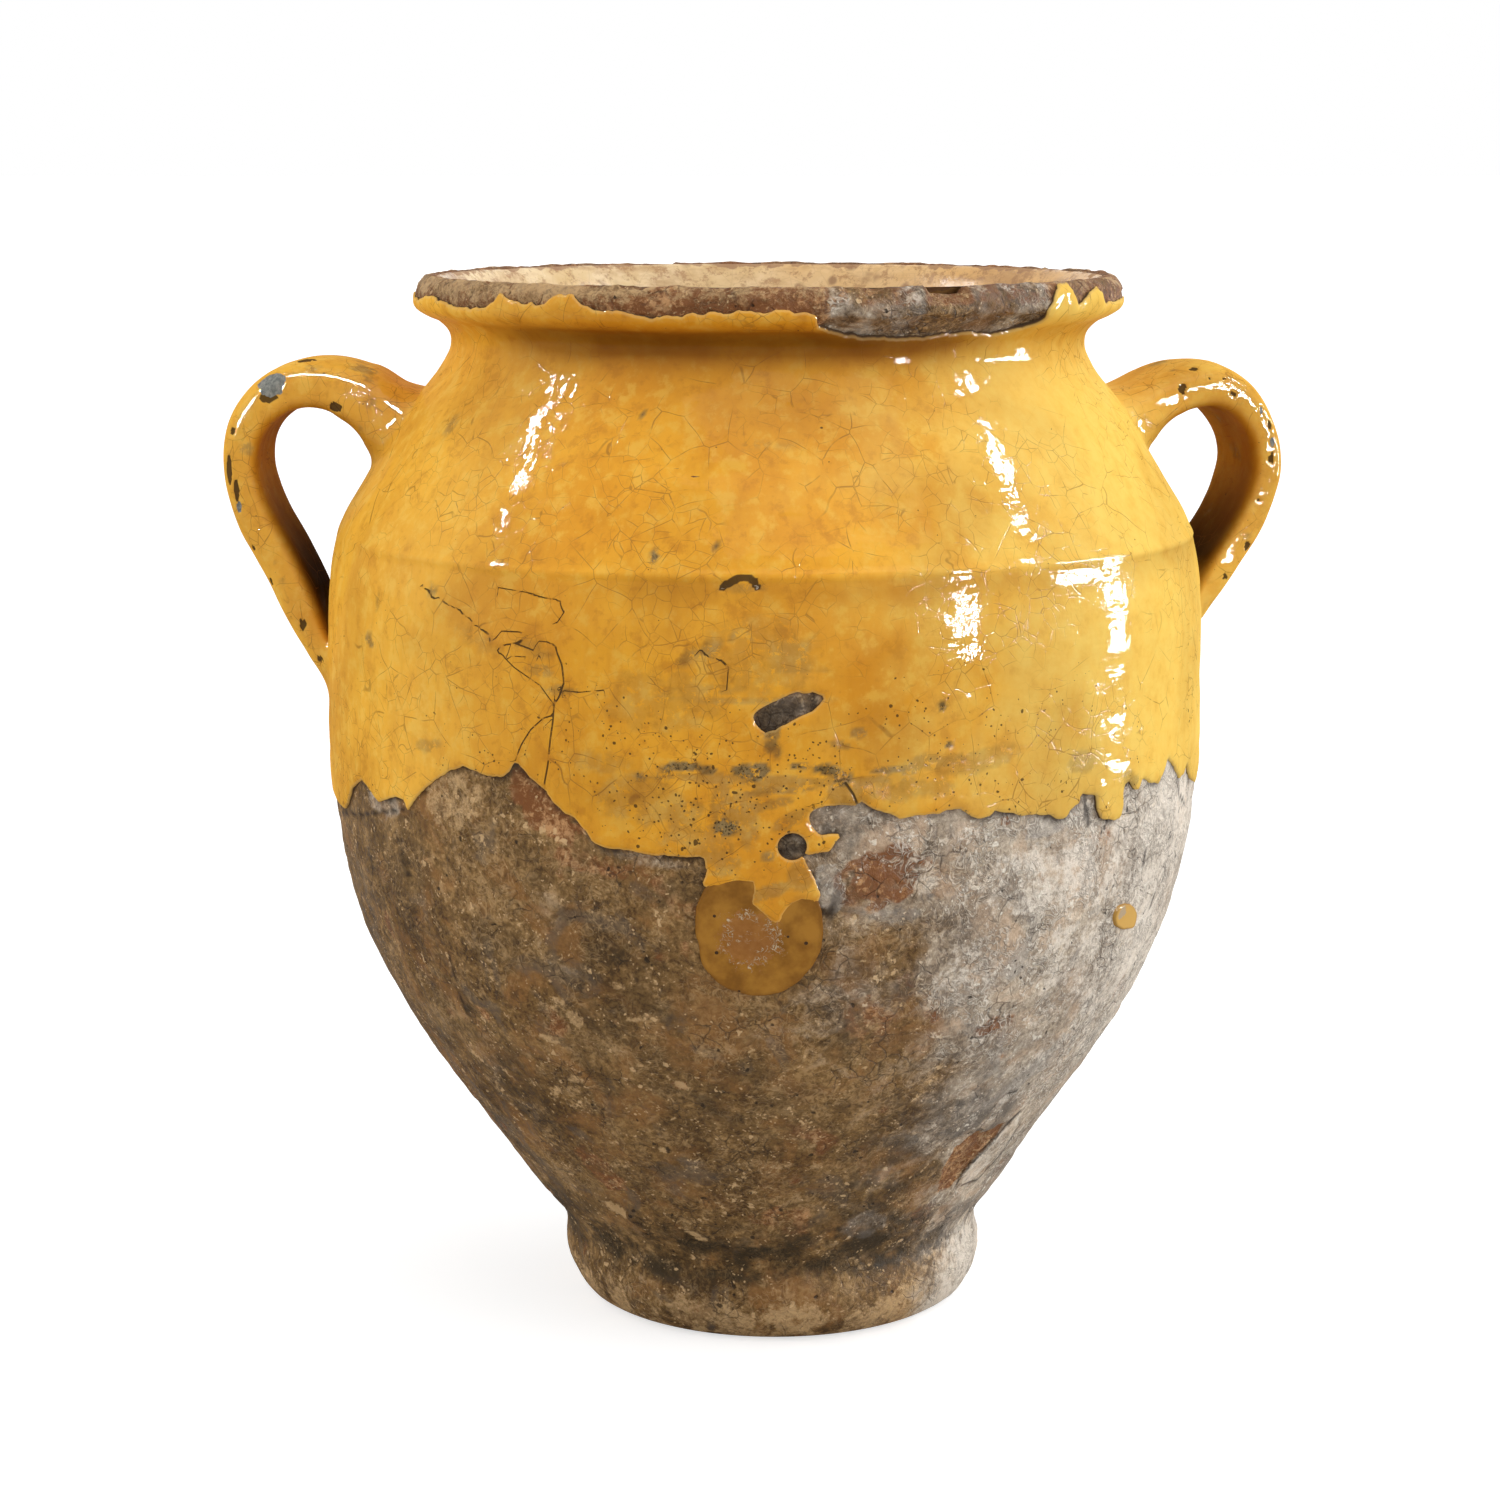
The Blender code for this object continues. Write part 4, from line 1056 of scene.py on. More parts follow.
# Brown and grey stains in the glaze as seen: place, half width, half height, tilt and strength.
STAINS = [
    (772, 738, 2.4, 5, 10, 0.8), (727, 828, 3.2, 2.6, 0, 1.0), (735, 815, 5, 9, 20, 0.45),
    (645, 775, 2.4, 1.6, 0, 0.9), (662, 772, 2.6, 1.8, 0, 0.8), (684, 766, 4.4, 1.4, 5, 1.0),
    (706, 770, 2.4, 1.0, 0, 0.9), (748, 772, 4.2, 2.0, -10, 1.0), (762, 768, 2.2, 1.6, 0, 1.0),
    (802, 766, 3.0, 1.0, -6, 0.9), (826, 770, 5.0, 1.6, -6, 1.0), (842, 776, 2.6, 2.2, 30, 0.9),
    (886, 770, 4, 0.9, 0, 0.8), (908, 768, 2.6, 1.4, 0, 0.5), (720, 778, 22, 1.2, 0, 0.5),
    (800, 782, 26, 1.0, 0, 0.5), (780, 790, 10, 1.0, 5, 0.6), (845, 792, 4, 6, 40, 0.5),
    (700, 840, 10, 4, 0, 0.34), (640, 800, 10, 7, 0, 0.3), (710, 648, 8, 1.6, 25, 0.6),
    (790, 652, 6, 4, 0, 0.4), (735, 700, 22, 1.0, 0, 0.4), (800, 668, 9, 1.2, 0, 0.45),
    (700, 690, 14, 1.4, 4, 0.34), (760, 655, 14, 10, 0, 0.24), (660, 700, 16, 8, 0, 0.22),
    (940, 705, 1.3, 1.3, 0, 1.0), (947, 744, 1.0, 0.9, 0, 1.0), (857, 732, 1.8, 1.4, 0, 0.6),
    (840, 745, 3, 1.0, -20, 0.5), (935, 760, 8, 2, 0, 0.45), (770, 890, 5, 2.0, 20, 0.45),
    (720, 860, 5, 4, 0, 0.4), (800, 875, 3, 4, 0, 0.4), (790, 820, 5, 2, 30, 0.45), (680, 815, 6, 3, 20, 0.4),
    (760, 805, 8, 1.4, 10, 0.5), (850, 788, 8, 1.4, 20, 0.5), (600, 760, 8, 3, 0, 0.25),
    (768, 855, 1.6, 1.6, 0, 0.7), (740, 588, 6, 1.0, 0, 0.4), (370, 640, 3, 1.2, -30, 0.7),
    (380, 604, 1.4, 2.0, 0, 0.6), (434, 589, 1.2, 1.6, 0, 0.7), (535, 650, 6, 1.6, -10, 0.4),
    (560, 690, 5, 1.2, 0, 0.45), (540, 670, 4, 1.6, 0, 0.4), (900, 790, 14, 3, 0, 0.32),
    (980, 760, 12, 3, 10, 0.3), (1080, 760, 6, 3, 0, 0.4), (1125, 780, 4, 3, 0, 0.5), (430, 745, 5, 2, 10, 0.4),
    (480, 640, 8, 2, -20, 0.25), (452, 427, 2.4, 4.0, 30, 0.5), (770, 445, 10, 1.0, 0, 0.25),
    (705, 415, 0.6, 0.6, 0, 1.0), (643, 416, 1.1, 1.0, 0, 1.0), (655, 558, 1.3, 1.5, 0, 1.0),
    (716, 546, 1.1, 1.1, 0, 1.0), (912, 412, 1.1, 0.8, 0, 1.0),
]
# The open mark on the luted line.
RIDGE_MARK = [(723, 588), (726, 584), (731, 583), (735, 580), (742, 578), (750, 579), (754, 581), (757, 587)]


def slow_brown(flat):
    """Where the glaze pooled a little browner."""
    return 0.26 * between(-0.1, 0.7, clouds(flat, 45, 157, 3))


def slow_pale(round_it, flat):
    """How much paler and yellower the glaze is on the right, and a little on the far left: partly its own colour,
    partly painted light on the sides where the light is strongest.
    """
    rightward = to_the_right(round_it)
    return between(0, 105, rightward + 24 * clouds(flat, 14, 151, 4)) + 0.3 * between(-40, -110, rightward)


def glaze_paint(wall, flat, near_edge):
    """The glaze's painted values: near its edge, stained, browner, paler, and near a drawn crack."""
    round_it, up_it = wall[:, 0], wall[:, 1]
    stain = np.zeros(len(wall))
    ragged = 1.15 + 1.1 * clouds(flat, 4.5, 153, 3)
    for *oval, strength in STAINS:
        stain = np.maximum(stain, strength * between(0.22, 0.62, spot(wall, *oval) * ragged))
    neck = run_at(284)
    under_lip = hump(up_it, neck + 2.0, 7.0)
    front = 1 - between(60, 110, np.abs(round_it))
    # Browner in a band under the lip: partly glaze pooled there, partly painted shade under the lip.
    brown = 1.35 * under_lip * (1 - 0.8 * between(50, 120, np.abs(round_it + 10)))
    brown += 0.34 * hump(up_it, run_at(268), 13) * hump(round_it, 3, 42)
    below_ridge = run_at(JOIN_HEIGHT) - up_it
    brown += 0.8 * slow_brown(flat) + 0.19 * between(0, 4, below_ridge) * front
    # A browner band just under the luted ridge, on all but the left: painted shade under the ridge.
    brown += 0.30 * band(0, 1.0, 1.5, 11, below_ridge) * between(-60, -20, to_the_right(round_it))
    side_on, nearness = drawn_cracks(wall)
    low = run_at(150)
    spotted = between(run_at(214), run_at(186), up_it) * between(low, low + 10, up_it)
    spotted = spotted * (1 - 0.6 * between(60, 120, np.abs(round_it)))
    return {
        "edge": near_edge,
        "stain": np.clip(stain, 0, 1),
        "open_mark": 1 - between(0.55, 1.35, edge_distance(wall, on_wall(RIDGE_MARK))),
        "brown": np.clip(brown, 0, 1),
        "pale": np.clip(slow_pale(round_it, flat) * (1 - 0.5 * under_lip), 0, 1),
        "crack_side": np.clip(side_on, -9, 9),
        "crack_near": nearness,
        "spotted": np.clip(spotted + 0.5 * clouds(flat, 20, 159, 2) + 0.9 * spot(wall, 745, 830, 26, 18), 0, 1.6),
        "shade": 0.42 * hump(up_it, neck + 2.5, 4.5) * (1 - between(40, 110, np.abs(round_it + 10))),
        "bared": np.zeros(len(wall)),
    }


def with_skirt(places, painted, depth):
    """Adds the glaze's broken side, from its rim down into the clay, and drops the places that no face uses."""
    down = {place: len(places) + number for number, place in enumerate(rim_places)}
    sunk = places[rim_places] - glaze_out[rim_places] * depth
    faces = coat_faces + [[end, start, down[start], down[end]] for start, end in rim]
    values = {name: np.concatenate([value, value[rim_places]]) for name, value in painted.items()}
    values["side"] = np.concatenate([np.zeros(len(places)), np.ones(len(rim_places))])
    kept = np.unique(np.concatenate([np.array(face) for face in faces]))
    new_number = np.zeros(len(places) + len(sunk), int)
    new_number[kept] = np.arange(len(kept))
    numbered = [new_number[face].tolist() for face in faces]
    return np.vstack([places, sunk])[kept], numbered, {name: value[kept] for name, value in values.items()}


SKIRT_DEPTH = 1.3
coat_painted = glaze_paint(glaze_wall, glaze_places, to_edge)
glaze_top -= glaze_out * (0.5 * coat_painted["open_mark"])[:, None]
coat = new_piece("yellow_coat", *with_skirt(glaze_top, coat_painted, SKIRT_DEPTH))


def clay_shade(wall, flat):
    """Darkens the clay: a painted shadow just under the glaze's broken edge, and dark clay in the chip, the hole
    and along the crevices.
    """
    past_edge = -glaze_cover(wall, flat)
    beside = between(1.7, 0.5, past_edge) * between(-2, -0.5, past_edge)
    chipped = within(wall, dark_chip) | (np.linalg.norm(wall - hole_middle, axis=1) < HOLE_RADIUS + 1)
    beside = beside * between(-0.35, 0.35, clouds(flat, 7, 165, 2))
    shade = np.maximum(0.8 * beside, chipped * (0.80 + 0.5 * clouds(flat, 3.5, 161, 3)))
    wander = 0.25 * grain(flat, 3, 163)
    for seen, half_width in CLAY_CREVICES:
        off = edge_distance(wall, on_wall(seen)) + wander
        shade = np.maximum(shade, 0.9 * between(half_width + 0.45, half_width - 0.1, off))
    return np.clip(shade, 0, 1)


paint_on(bowl, "shade", clay_shade(bowl_wall, turned_places(bowl_line, bowl_turns)[0]))

glaze = Recipe("honey_yellow_glaze")
slow = glaze.noise(34, 4, 0.6)
streaks = glaze.noise(4.5, 4, 0.62, place=glaze.scaled(1, 1, 0.16))
mottle = glaze.noise(6, 5, 0.66)
glaze.color = glaze.mix(slow.ease(0.34, 0.66), (0.755, 0.320, 0.018), (0.86, 0.410, 0.028))
glaze.tint(streaks.ease(0.42, 0.70, 0.0, 0.28), (0.57, 0.205, 0.012))
glaze.tint(mottle.ease(0.50, 0.66, 0.0, 0.62), (0.87, 0.50, 0.070))
glaze.tint(mottle.ease(0.46, 0.32, 0.0, 0.52), (0.53, 0.195, 0.012))
# Paler and yellower on the sides: partly the glaze's own colour, partly painted light.
glaze.tint(glaze.painted("pale") * mottle.ease(0.2, 0.7, 0.60, 1.0), (0.85, 0.575, 0.125))
# Browner where the glaze pooled, with painted shade under the lip and under the luted ridge.
browner = glaze.painted("brown") * slow.ease(0.2, 0.7, 1.0, 0.75)
glaze.tint(browner, (0.25, 0.082, 0.006))
# Painted shade: darker under the lip and deep in the straps' crotches.
glaze.tint(glaze.painted("shade"), (0.024, 0.010, 0.004))
stained = glaze.painted("stain") * glaze.noise(2.4, 6, 0.72, 0.4).ease(0.38, 0.47)
glaze.tint(stained * 0.92, glaze.mix(mottle.ease(0.35, 0.65), (0.115, 0.078, 0.032), (0.26, 0.185, 0.085)))
core = glaze.painted("stain").ease(0.6, 1.0) * glaze.noise(0.9, 4, 0.7).ease(0.53, 0.60)
glaze.tint(core * 0.85, (0.050, 0.033, 0.015))
# The net of fine cracks, wide and narrow, each only in places.
wide_net = glaze.cells(13, "DISTANCE_TO_EDGE", glaze.swayed(26, 9.0)).ease(0.012, 0.003)
fine_net = glaze.cells(4.6, "DISTANCE_TO_EDGE", glaze.swayed(11, 4.5)).ease(0.026, 0.006)
wide_net = wide_net * glaze.noise(36, 3).ease(0.42, 0.56)
fine_net = fine_net * glaze.noise(26, 3).ease(0.40, 0.56)
crazing = (wide_net * 0.60 | fine_net * 0.50) * glaze.noise(7, 3, 0.6).ease(0.36, 0.54)
glaze.tint(crazing, (0.22, 0.085, 0.014))
spotted = glaze.painted("spotted")
pit_size = (glaze.noise(13, 2) + spotted * 0.16).ease(0.50, 0.84, 0.0, 0.13)
small_pit_size = (glaze.noise(7, 3) + spotted * 0.22).ease(0.55, 0.88, 0.0, 0.20)
pits = ((glaze.cells(4.4, place=glaze.swayed(4, 2.4)) < pit_size)
        | (glaze.cells(1.6, place=glaze.swayed(3, 1.4)) < small_pit_size))
glaze.tint(pits * 0.85, (0.062, 0.036, 0.015))
crack = abs(glaze.painted("crack_side")).ease(1.4, 0.6) * glaze.painted("crack_near").ease(0.05, 0.3)
crack = crack * glaze.noise(3, 3, 0.6).ease(0.34, 0.48)
marked = crack | glaze.painted("open_mark").ease(0.35, 0.7)
glaze.tint(marked * 0.9, (0.050, 0.030, 0.016))
bared = glaze.painted("bared").ease(0.35, 0.6)
grit = glaze.noise(1.2, 4, 0.7).ease(0.35, 0.65)
glaze.tint(bared, glaze.mix(grit, (0.150, 0.158, 0.145), (0.29, 0.285, 0.255)))
glaze.tint(glaze.painted("edge").ease(0.8, 0.1, 0.0, 0.30), (0.68, 0.47, 0.19))
body = glaze.painted("side").ease(0.15, 0.6)
glaze.tint(body, (0.10, 0.062, 0.036))
ripples = glaze.noise(5, 2, 0.5, place=glaze.scaled(0.4, 0.4, 1.6))
height = glaze.noise(2.6, 2, 0.5) * 0.07 + ripples * 0.13 + glaze.noise(7.5, 2, 0.5) * 0.17
height = height - crazing * 0.05 - pits * 0.30 - crack * 0.35 - stained * 0.08
# The gloss is the coat's. It is full where the glaze faces the eye and eases off where it turns away.
facing = Level(glaze, glaze.node("ShaderNodeLayerWeight", Blend=0.5).outputs["Facing"])
matt = (pits | marked) | (body | bared) | stained * 0.7 | glaze.painted("shade") * 0.8
gloss = facing.ease(0.30, 0.60, 0.36, 0.05) * (1.0 - matt) * (1.0 - browner * 0.55)
glaze.set(glaze.shader, Coat_Weight=gloss)
glaze.finish(matt * 0.85 | 0.22, height, 1.0, [coat], Specular_IOR_Level=0.0, Coat_Roughness=0.025, Coat_IOR=1.5)
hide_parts("outer_glaze")
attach(coat, "root")

# The two handles. Straps of clay pulled from a lump, pressed on wet at the shoulder and the wall, and smoothed
# into both with a thumb before the pot was dipped. The same glaze covers them, chipped on their outer edges.
# Each strap's middle, as (distance from the axis, height), with its half width and half thickness.
LEFT_STRAP = [
    (116.5, 264.6, 19.5, 8.8), (121.0, 266.6, 18.9, 8.0), (126.0, 267.6, 18.5, 7.5), (132.0, 267.4, 18.3, 7.2),
    (138.4, 265.2, 18.2, 6.9), (144.4, 260.2, 18.0, 6.5), (148.0, 253.0, 18.0, 6.3), (148.7, 244.5, 18.0, 6.3),
    (147.0, 236.5, 18.0, 6.5), (143.9, 229.0, 18.0, 6.7), (140.2, 222.2, 18.2, 6.7), (136.6, 215.2, 18.4, 6.6),
    (133.6, 208.6, 18.8, 6.6),
]
RIGHT_STRAP = [
    (118.5, 262.9, 19.0, 7.3), (122.5, 264.5, 18.6, 7.2), (127.5, 265.6, 18.4, 7.2), (133.0, 265.6, 18.2, 7.0),
    (139.0, 262.8, 18.1, 6.5), (144.0, 257.3, 18.0, 6.0), (147.3, 250.0, 18.0, 5.7), (148.0, 242.5, 18.0, 5.7),
    (146.3, 235.0, 18.0, 5.8), (143.3, 227.8, 18.0, 6.0), (139.5, 221.4, 18.2, 6.1), (135.4, 215.4, 18.5, 6.2),
]
LEFT_BACK = 1.5
RIGHT_BACK = 12.5
# How each strap's upper and lower ends meet the wall: height, half spread, and reach of the outer and inner face.
LEFT_ROOTS = ((256.0, 30.0, 12.5, 17.0), (189.0, 25.0, 22.0, 12.0))
RIGHT_ROOTS = ((256.0, 29.0, 11.5, 16.5), (198.0, 24.0, 20.0, 11.0))
STRAP_SIDES = 112
STRAP_RINGS = 150
FILLET_RINGS = 30
RING_COUNT = 2 * FILLET_RINGS + STRAP_RINGS
FILLET_SINK = 0.12


def wall_out(angle, height):
    """The outer wall's outward directions."""
    slope = (radius_at(height + 1) - radius_at(height - 1)) / 2
    out = np.stack([np.sin(angle), -np.cos(angle), -slope], axis=1)
    return out / np.linalg.norm(out, axis=1)[:, None]


def surface_at(angle, height, proud):
    """A place on the glaze's face and its outward direction."""
    out = wall_out(angle, height)
    place = placed_round(angle, radius_at(height) + out_of_round(angle, height), height)
    lift = proud + coat_relief(np.stack([angle * AROUND, run_at(height)], axis=1), place)
    return place + out * lift[:, None], out


def settled(fillet, share):
    """Draws the last part of a fillet down until it lies flush on the wall."""
    flat = fillet.reshape(-1, 3)
    height = flat[:, 2]
    across = flat[:, 0] - lean_at(height)
    angle = np.arctan2(across, -flat[:, 1])
    wanted = radius_at(height) + out_of_round(angle, height) + GLAZE - FILLET_SINK
    wanted += coat_relief(np.stack([angle * AROUND, run_at(height)], axis=1), flat)
    drawn_down = np.repeat(between(0.45, 1.0, share).ravel(), STRAP_SIDES)
    excess = (np.hypot(across, flat[:, 1]) - wanted) * drawn_down
    flat = flat - np.stack([np.sin(angle), -np.cos(angle), 0 * angle], axis=1) * excess[:, None]
    return flat.reshape(fillet.shape)


def strap_handle(strap, middle, roots):
    """A strap swept along its line, whose two ends spread and run out onto the wall without a step."""
    line = smooth_line(strap, 0.5)
    run = run_of(line[:, :2])
    line = evened(line, np.linspace(0, run[-1], STRAP_RINGS), run)
    along = np.gradient(line[:, :2], axis=0)
    along /= np.linalg.norm(along, axis=1)[:, None]
    outward = np.array((math.sin(middle), -math.cos(middle), 0))
    sideways = np.array((math.cos(middle), math.sin(middle), 0))
    upward = np.array((0, 0, 1))
    turn = 2 * math.pi * np.arange(STRAP_SIDES) / STRAP_SIDES
    wide = np.sign(np.cos(turn)) * np.abs(np.cos(turn)) ** 0.55
    thick = np.sign(np.sin(turn)) * np.abs(np.sin(turn)) ** 0.62
    # The inner face is slightly hollow and the outer slightly crowned, from the potter's thumb and fingers.
    crown = np.where(thick > 0, 1 + 0.10 * (1 - wide**2), 1 - 0.30 * (1 - wide**2))
    rings = []
    for (reach, height, half_width, half_thickness), (ahead, up) in zip(line, along):
        centre = reach * outward + height * upward
        through = -up * outward + ahead * upward
        ring = np.outer(wide * half_width, sideways) + np.outer(thick * crown * half_thickness, through)
        rings.append(centre + ring)
    rings = np.array(rings)
    ends = []
    share = np.linspace(0, 1, FILLET_RINGS + 1)[1:, None, None]
    for root, end_rings, flip in zip(roots, (rings[:3], rings[-3:][::-1]), (1, -1)):
        root_height, spread, outer_reach, inner_reach = root
        height = root_height + flip * np.sin(turn) * np.where(thick > 0, outer_reach, inner_reach)
        foot, out = surface_at(middle + np.cos(turn) * spread / radius_at(height), height, GLAZE - FILLET_SINK)
        root_place, _ = surface_at(np.array([middle]), np.array([root_height]), GLAZE)
        away = foot - root_place[0]
        away = unit(away - out * np.sum(away * out, axis=1)[:, None])
        start = end_rings[0]
        heading = unit(start - end_rings[2])
        gap = np.linalg.norm(foot - start, axis=1)[:, None]
        # A curve that leaves the strap along its own line and meets the wall along the wall.
        fillet = (2 * share**3 - 3 * share**2 + 1) * start + (3 * share**2 - 2 * share**3) * foot
        fillet += (share**3 - 2 * share**2 + share) * heading * gap * 1.05
        fillet += (share**3 - share**2) * away * gap * 1.3
        ends.append(settled(fillet, share))
    places = np.vstack([ends[0][::-1].reshape(-1, 3), rings.reshape(-1, 3), ends[1].reshape(-1, 3)])
    return places, np.tile(between(0.25, 0.95, -thick), RING_COUNT)


def handle_relief(places):
    """Outward directions on a strap, and how far its surface stands in or out: thumb marks and worn edges."""
    grid = places.reshape(RING_COUNT, STRAP_SIDES, 3)
    around = np.roll(grid, -1, axis=1) - np.roll(grid, 1, axis=1)
    out = unit(np.cross(around, np.gradient(grid, axis=0)).reshape(-1, 3))
    middle = grid.mean(axis=1, keepdims=True)
    if np.sum(out.reshape(grid.shape) * (grid - middle), axis=2).mean() <= 0:
        out = -out
    ring = np.repeat(np.arange(RING_COUNT), STRAP_SIDES)
    free = band(0, FILLET_RINGS, RING_COUNT - FILLET_RINGS, RING_COUNT - 1, ring)
    return out, free * (0.45 * clouds(places, 24, 171, 2) + 0.07 * grain(places, 6, 175)), free


def seen_spot(places, x, y, half_width, half_height):
    """A soft mark at a place seen in the photograph, on the nearest surface there."""
    back, rise = places[:, 1] - CAMERA_PLACE[1], places[:, 2] - CAMERA_PLACE[2]
    deep = back * math.cos(CAMERA_DIP) - rise * math.sin(CAMERA_DIP)
    up = back * math.sin(CAMERA_DIP) + rise * math.cos(CAMERA_DIP)
    scale = PHOTO_WIDTH * LENS / FILM / deep
    seen_x = PHOTO_WIDTH / 2 + (places[:, 0] - CAMERA_PLACE[0]) * scale
    seen_y = PHOTO_WIDTH / 2 - up * scale
    away = ((seen_x - x) / half_width) ** 2 + ((seen_y - y) / half_height) ** 2
    here = away < max(1.5, np.partition(away, 12)[12])
    behind = deep - deep[here].min()
    away += (behind / (1.0 + 1.2 * max(half_width, half_height) / scale)) ** 2
    return np.exp(-(away**1.5))


# Chips on each handle as seen: place, half width and half height in the picture, and how much pale clay shows.
LEFT_CHIPS = [
    (270, 383, 15, 14, 1), (268, 397, 9, 6, 0), (335, 407, 7, 6, 0), (232, 432, 3, 6, 0), (228, 470, 3, 16, 0),
    (236, 492, 3, 12, 0), (252, 550, 3, 4, 0), (270, 585, 3, 8, 0), (303, 625, 4, 7, 0), (318, 660, 5, 4, 0),
    (302, 359, 20, 2.5, 0), (238, 508, 3, 6, 1),
]
RIGHT_CHIPS = [
    (1194, 367, 5, 2.4, 0), (1183, 388, 4, 6, 0), (1210, 378, 1.6, 1.8, 0), (1225, 378, 1.6, 1.8, 0),
    (1271, 425, 2.4, 5, 0), (1273, 442, 2.4, 6, 0.6), (1272, 458, 2.4, 6, 0), (1262, 410, 2, 4, 0.6),
    (1249, 547, 3.4, 5.5, 0), (1226, 577, 3, 4.5, 0), (1259, 500, 1.6, 2.4, 0), (1232, 394, 6, 1.4, 0),
]
CHIP_DEPTH = 0.5
# Between these heights each strap's inner face is painted darker towards the crotch: painted shade in the
# narrow gap between the strap and the wall.
CROTCH_TOP = 252
CROTCH_LOW = 214

for name, node, strap, middle, roots, chips, glint in (
    ("left_strap_handle", "left_handle", LEFT_STRAP, -90 - LEFT_BACK, LEFT_ROOTS, LEFT_CHIPS, left_glint),
    ("right_strap_handle", "right_handle", RIGHT_STRAP, 90 + RIGHT_BACK, RIGHT_ROOTS, RIGHT_CHIPS, right_glint),
):
    places, inward = strap_handle(strap, math.radians(middle), roots)
    out, relief, free = handle_relief(places)
    count = len(places)
    chip, bared = np.zeros(count), np.zeros(count)
    ragged = 1.2 + 0.9 * clouds(places, 4, 181, 3)
    for *oval, pale_clay in chips:
        mark = between(0.34, 0.5, seen_spot(places, *oval) * ragged)
        chip, bared = np.maximum(chip, (1 - pale_clay) * mark), np.maximum(bared, pale_clay * mark)
    places = places + out * (relief - CHIP_DEPTH * np.maximum(chip, bared))[:, None]
    round_it = AROUND * np.arctan2(places[:, 0], -places[:, 1])
    handle = new_piece(name, places, row_faces(RING_COUNT, STRAP_SIDES), {
        "edge": np.full(count, 6.0),
        "stain": 0.6 * free * between(0.5, 0.9, clouds(places, 9, 183, 4)),
        "open_mark": chip,
        "bared": bared,
        "brown": np.clip(slow_brown(places) + free * (0.06 + 0.62 * inward), 0, 1),
        "pale": np.clip(slow_pale(round_it, places) * (1 - 0.75 * free) + 0.22 * free * (1 - inward), 0, 1),
        "crack_side": np.full(count, 9.0),
        "crack_near": np.zeros(count),
        "spotted": 0.4 * free,
        "shade": 0.93 * inward * between(CROTCH_TOP, CROTCH_LOW, places[:, 2]) * free,
        "side": np.zeros(count),
    })
    handle.data.materials.append(glaze.owner)
    lit = bpy.data.collections.new("lit_" + name)
    lit.objects.link(handle)
    for lamp in glint:
        lamp.light_linking.receiver_collection = lit
    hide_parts(node)
    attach(handle, "root")

# The lining. A thinner cream-yellow glaze, poured in and out again, which made the pot hold fat. It is worn and
# stained brown at the mouth, warmer to the right.
lining_part = whole_line[inner_place(299.5):]
lining_steps = np.concatenate([np.arange(0, 24, 0.9), np.linspace(25, run_of(lining_part)[-1] - 4, 90)])
lining_turns = turns_round(1.9, 1.3, 90)
lining_places, lining_out = turned_places(evened(lining_part, lining_steps), lining_turns)
down_it = np.repeat(lining_steps, len(lining_turns))
fade_in = between(0, 1.4, down_it)
lining_lift = 0.62 * fade_in - 0.25 + 0.25 * clouds(lining_places, 24, 191, 3) * fade_in
lining_faces = row_faces(len(lining_steps), len(lining_turns))
lining_faces.append(list(range(len(lining_places) - len(lining_turns), len(lining_places))))
lining = new_piece("lining_coat", lining_places + lining_out * lining_lift[:, None], lining_faces, {
    "warm": between(-40, 60, lining_places[:, 0] + 25 * clouds(lining_places, 30, 195, 3)),
    "mouth": between(26, 4, down_it),
    "worn": between(3, 0, down_it + 2.5 * clouds(lining_places, 7, 197, 4)),
})
cream = Recipe("cream_lining_glaze")
slow = cream.noise(22, 4, 0.6)
fine = cream.noise(4, 5, 0.65)
cream.color = cream.mix(slow.ease(0.35, 0.65), (0.68, 0.48, 0.23), (0.80, 0.62, 0.37))
cream.tint(cream.painted("warm"), cream.mix(slow, (0.66, 0.36, 0.11), (0.76, 0.48, 0.21)))
spots = cream.cells(7, place=cream.swayed(5, 3)).ease(0.34, 0.14) * cream.noise(15, 3).ease(0.45, 0.62)
cream.tint(spots * 0.7, (0.22, 0.10, 0.045))
fat_stain = cream.noise(16, 6, 0.7, place=cream.scaled(0.5, 0.5, 1.6)).ease(0.48, 0.66, 0.0, 0.6)
cream.tint(fat_stain, (0.40, 0.21, 0.08))
mouth_stain = cream.painted("mouth") * cream.noise(5, 6, 0.76).ease(0.50, 0.60)
cream.tint(mouth_stain * 0.62, (0.34, 0.16, 0.060))
net = cream.cells(6.0, "DISTANCE_TO_EDGE", cream.swayed(14, 4)).ease(0.03, 0.008, 0.0, 0.14)
cream.tint(net, (0.28, 0.14, 0.06))
worn = (cream.painted("worn") + fine.ease(0.3, 0.7, -0.35, 0.35)).ease(0.45, 0.7)
cream.tint(worn * 0.75, (0.30, 0.15, 0.07))
cream.finish(slow.ease(0.35, 0.7, 0.16, 0.34) + worn * 0.4, fine * 0.12 - net * 0.08, 1.0, [lining],
             Specular_IOR_Level=0.25)
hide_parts("inner_glaze")
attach(lining, "root")

# The amber spots. Where the run ended, thin glaze soaked into the clay in a round brown-yellow patch, scraped
# through in its middle. A smaller drop fell to its right.
PATCH_RING = [
    (707, 884), (716, 880), (738, 878), (762, 880), (790, 884), (812, 890), (822, 908), (823, 935), (818, 957),
    (806, 975), (788, 989), (765, 996), (742, 994), (720, 984), (704, 968), (698, 948), (695, 925), (697, 903),
]
DROP_RING = [
    (1125, 903), (1133, 906), (1136, 916), (1133, 926), (1124, 929), (1115, 926), (1112, 916), (1116, 907),
]
# Where each is scraped through, as seen, with the scrape's half width in mm.
PATCH_SCRAPE = (750, 938, 8.5)
DROP_SCRAPE = (1120, 912, 2.0)
AMBER = 0.3


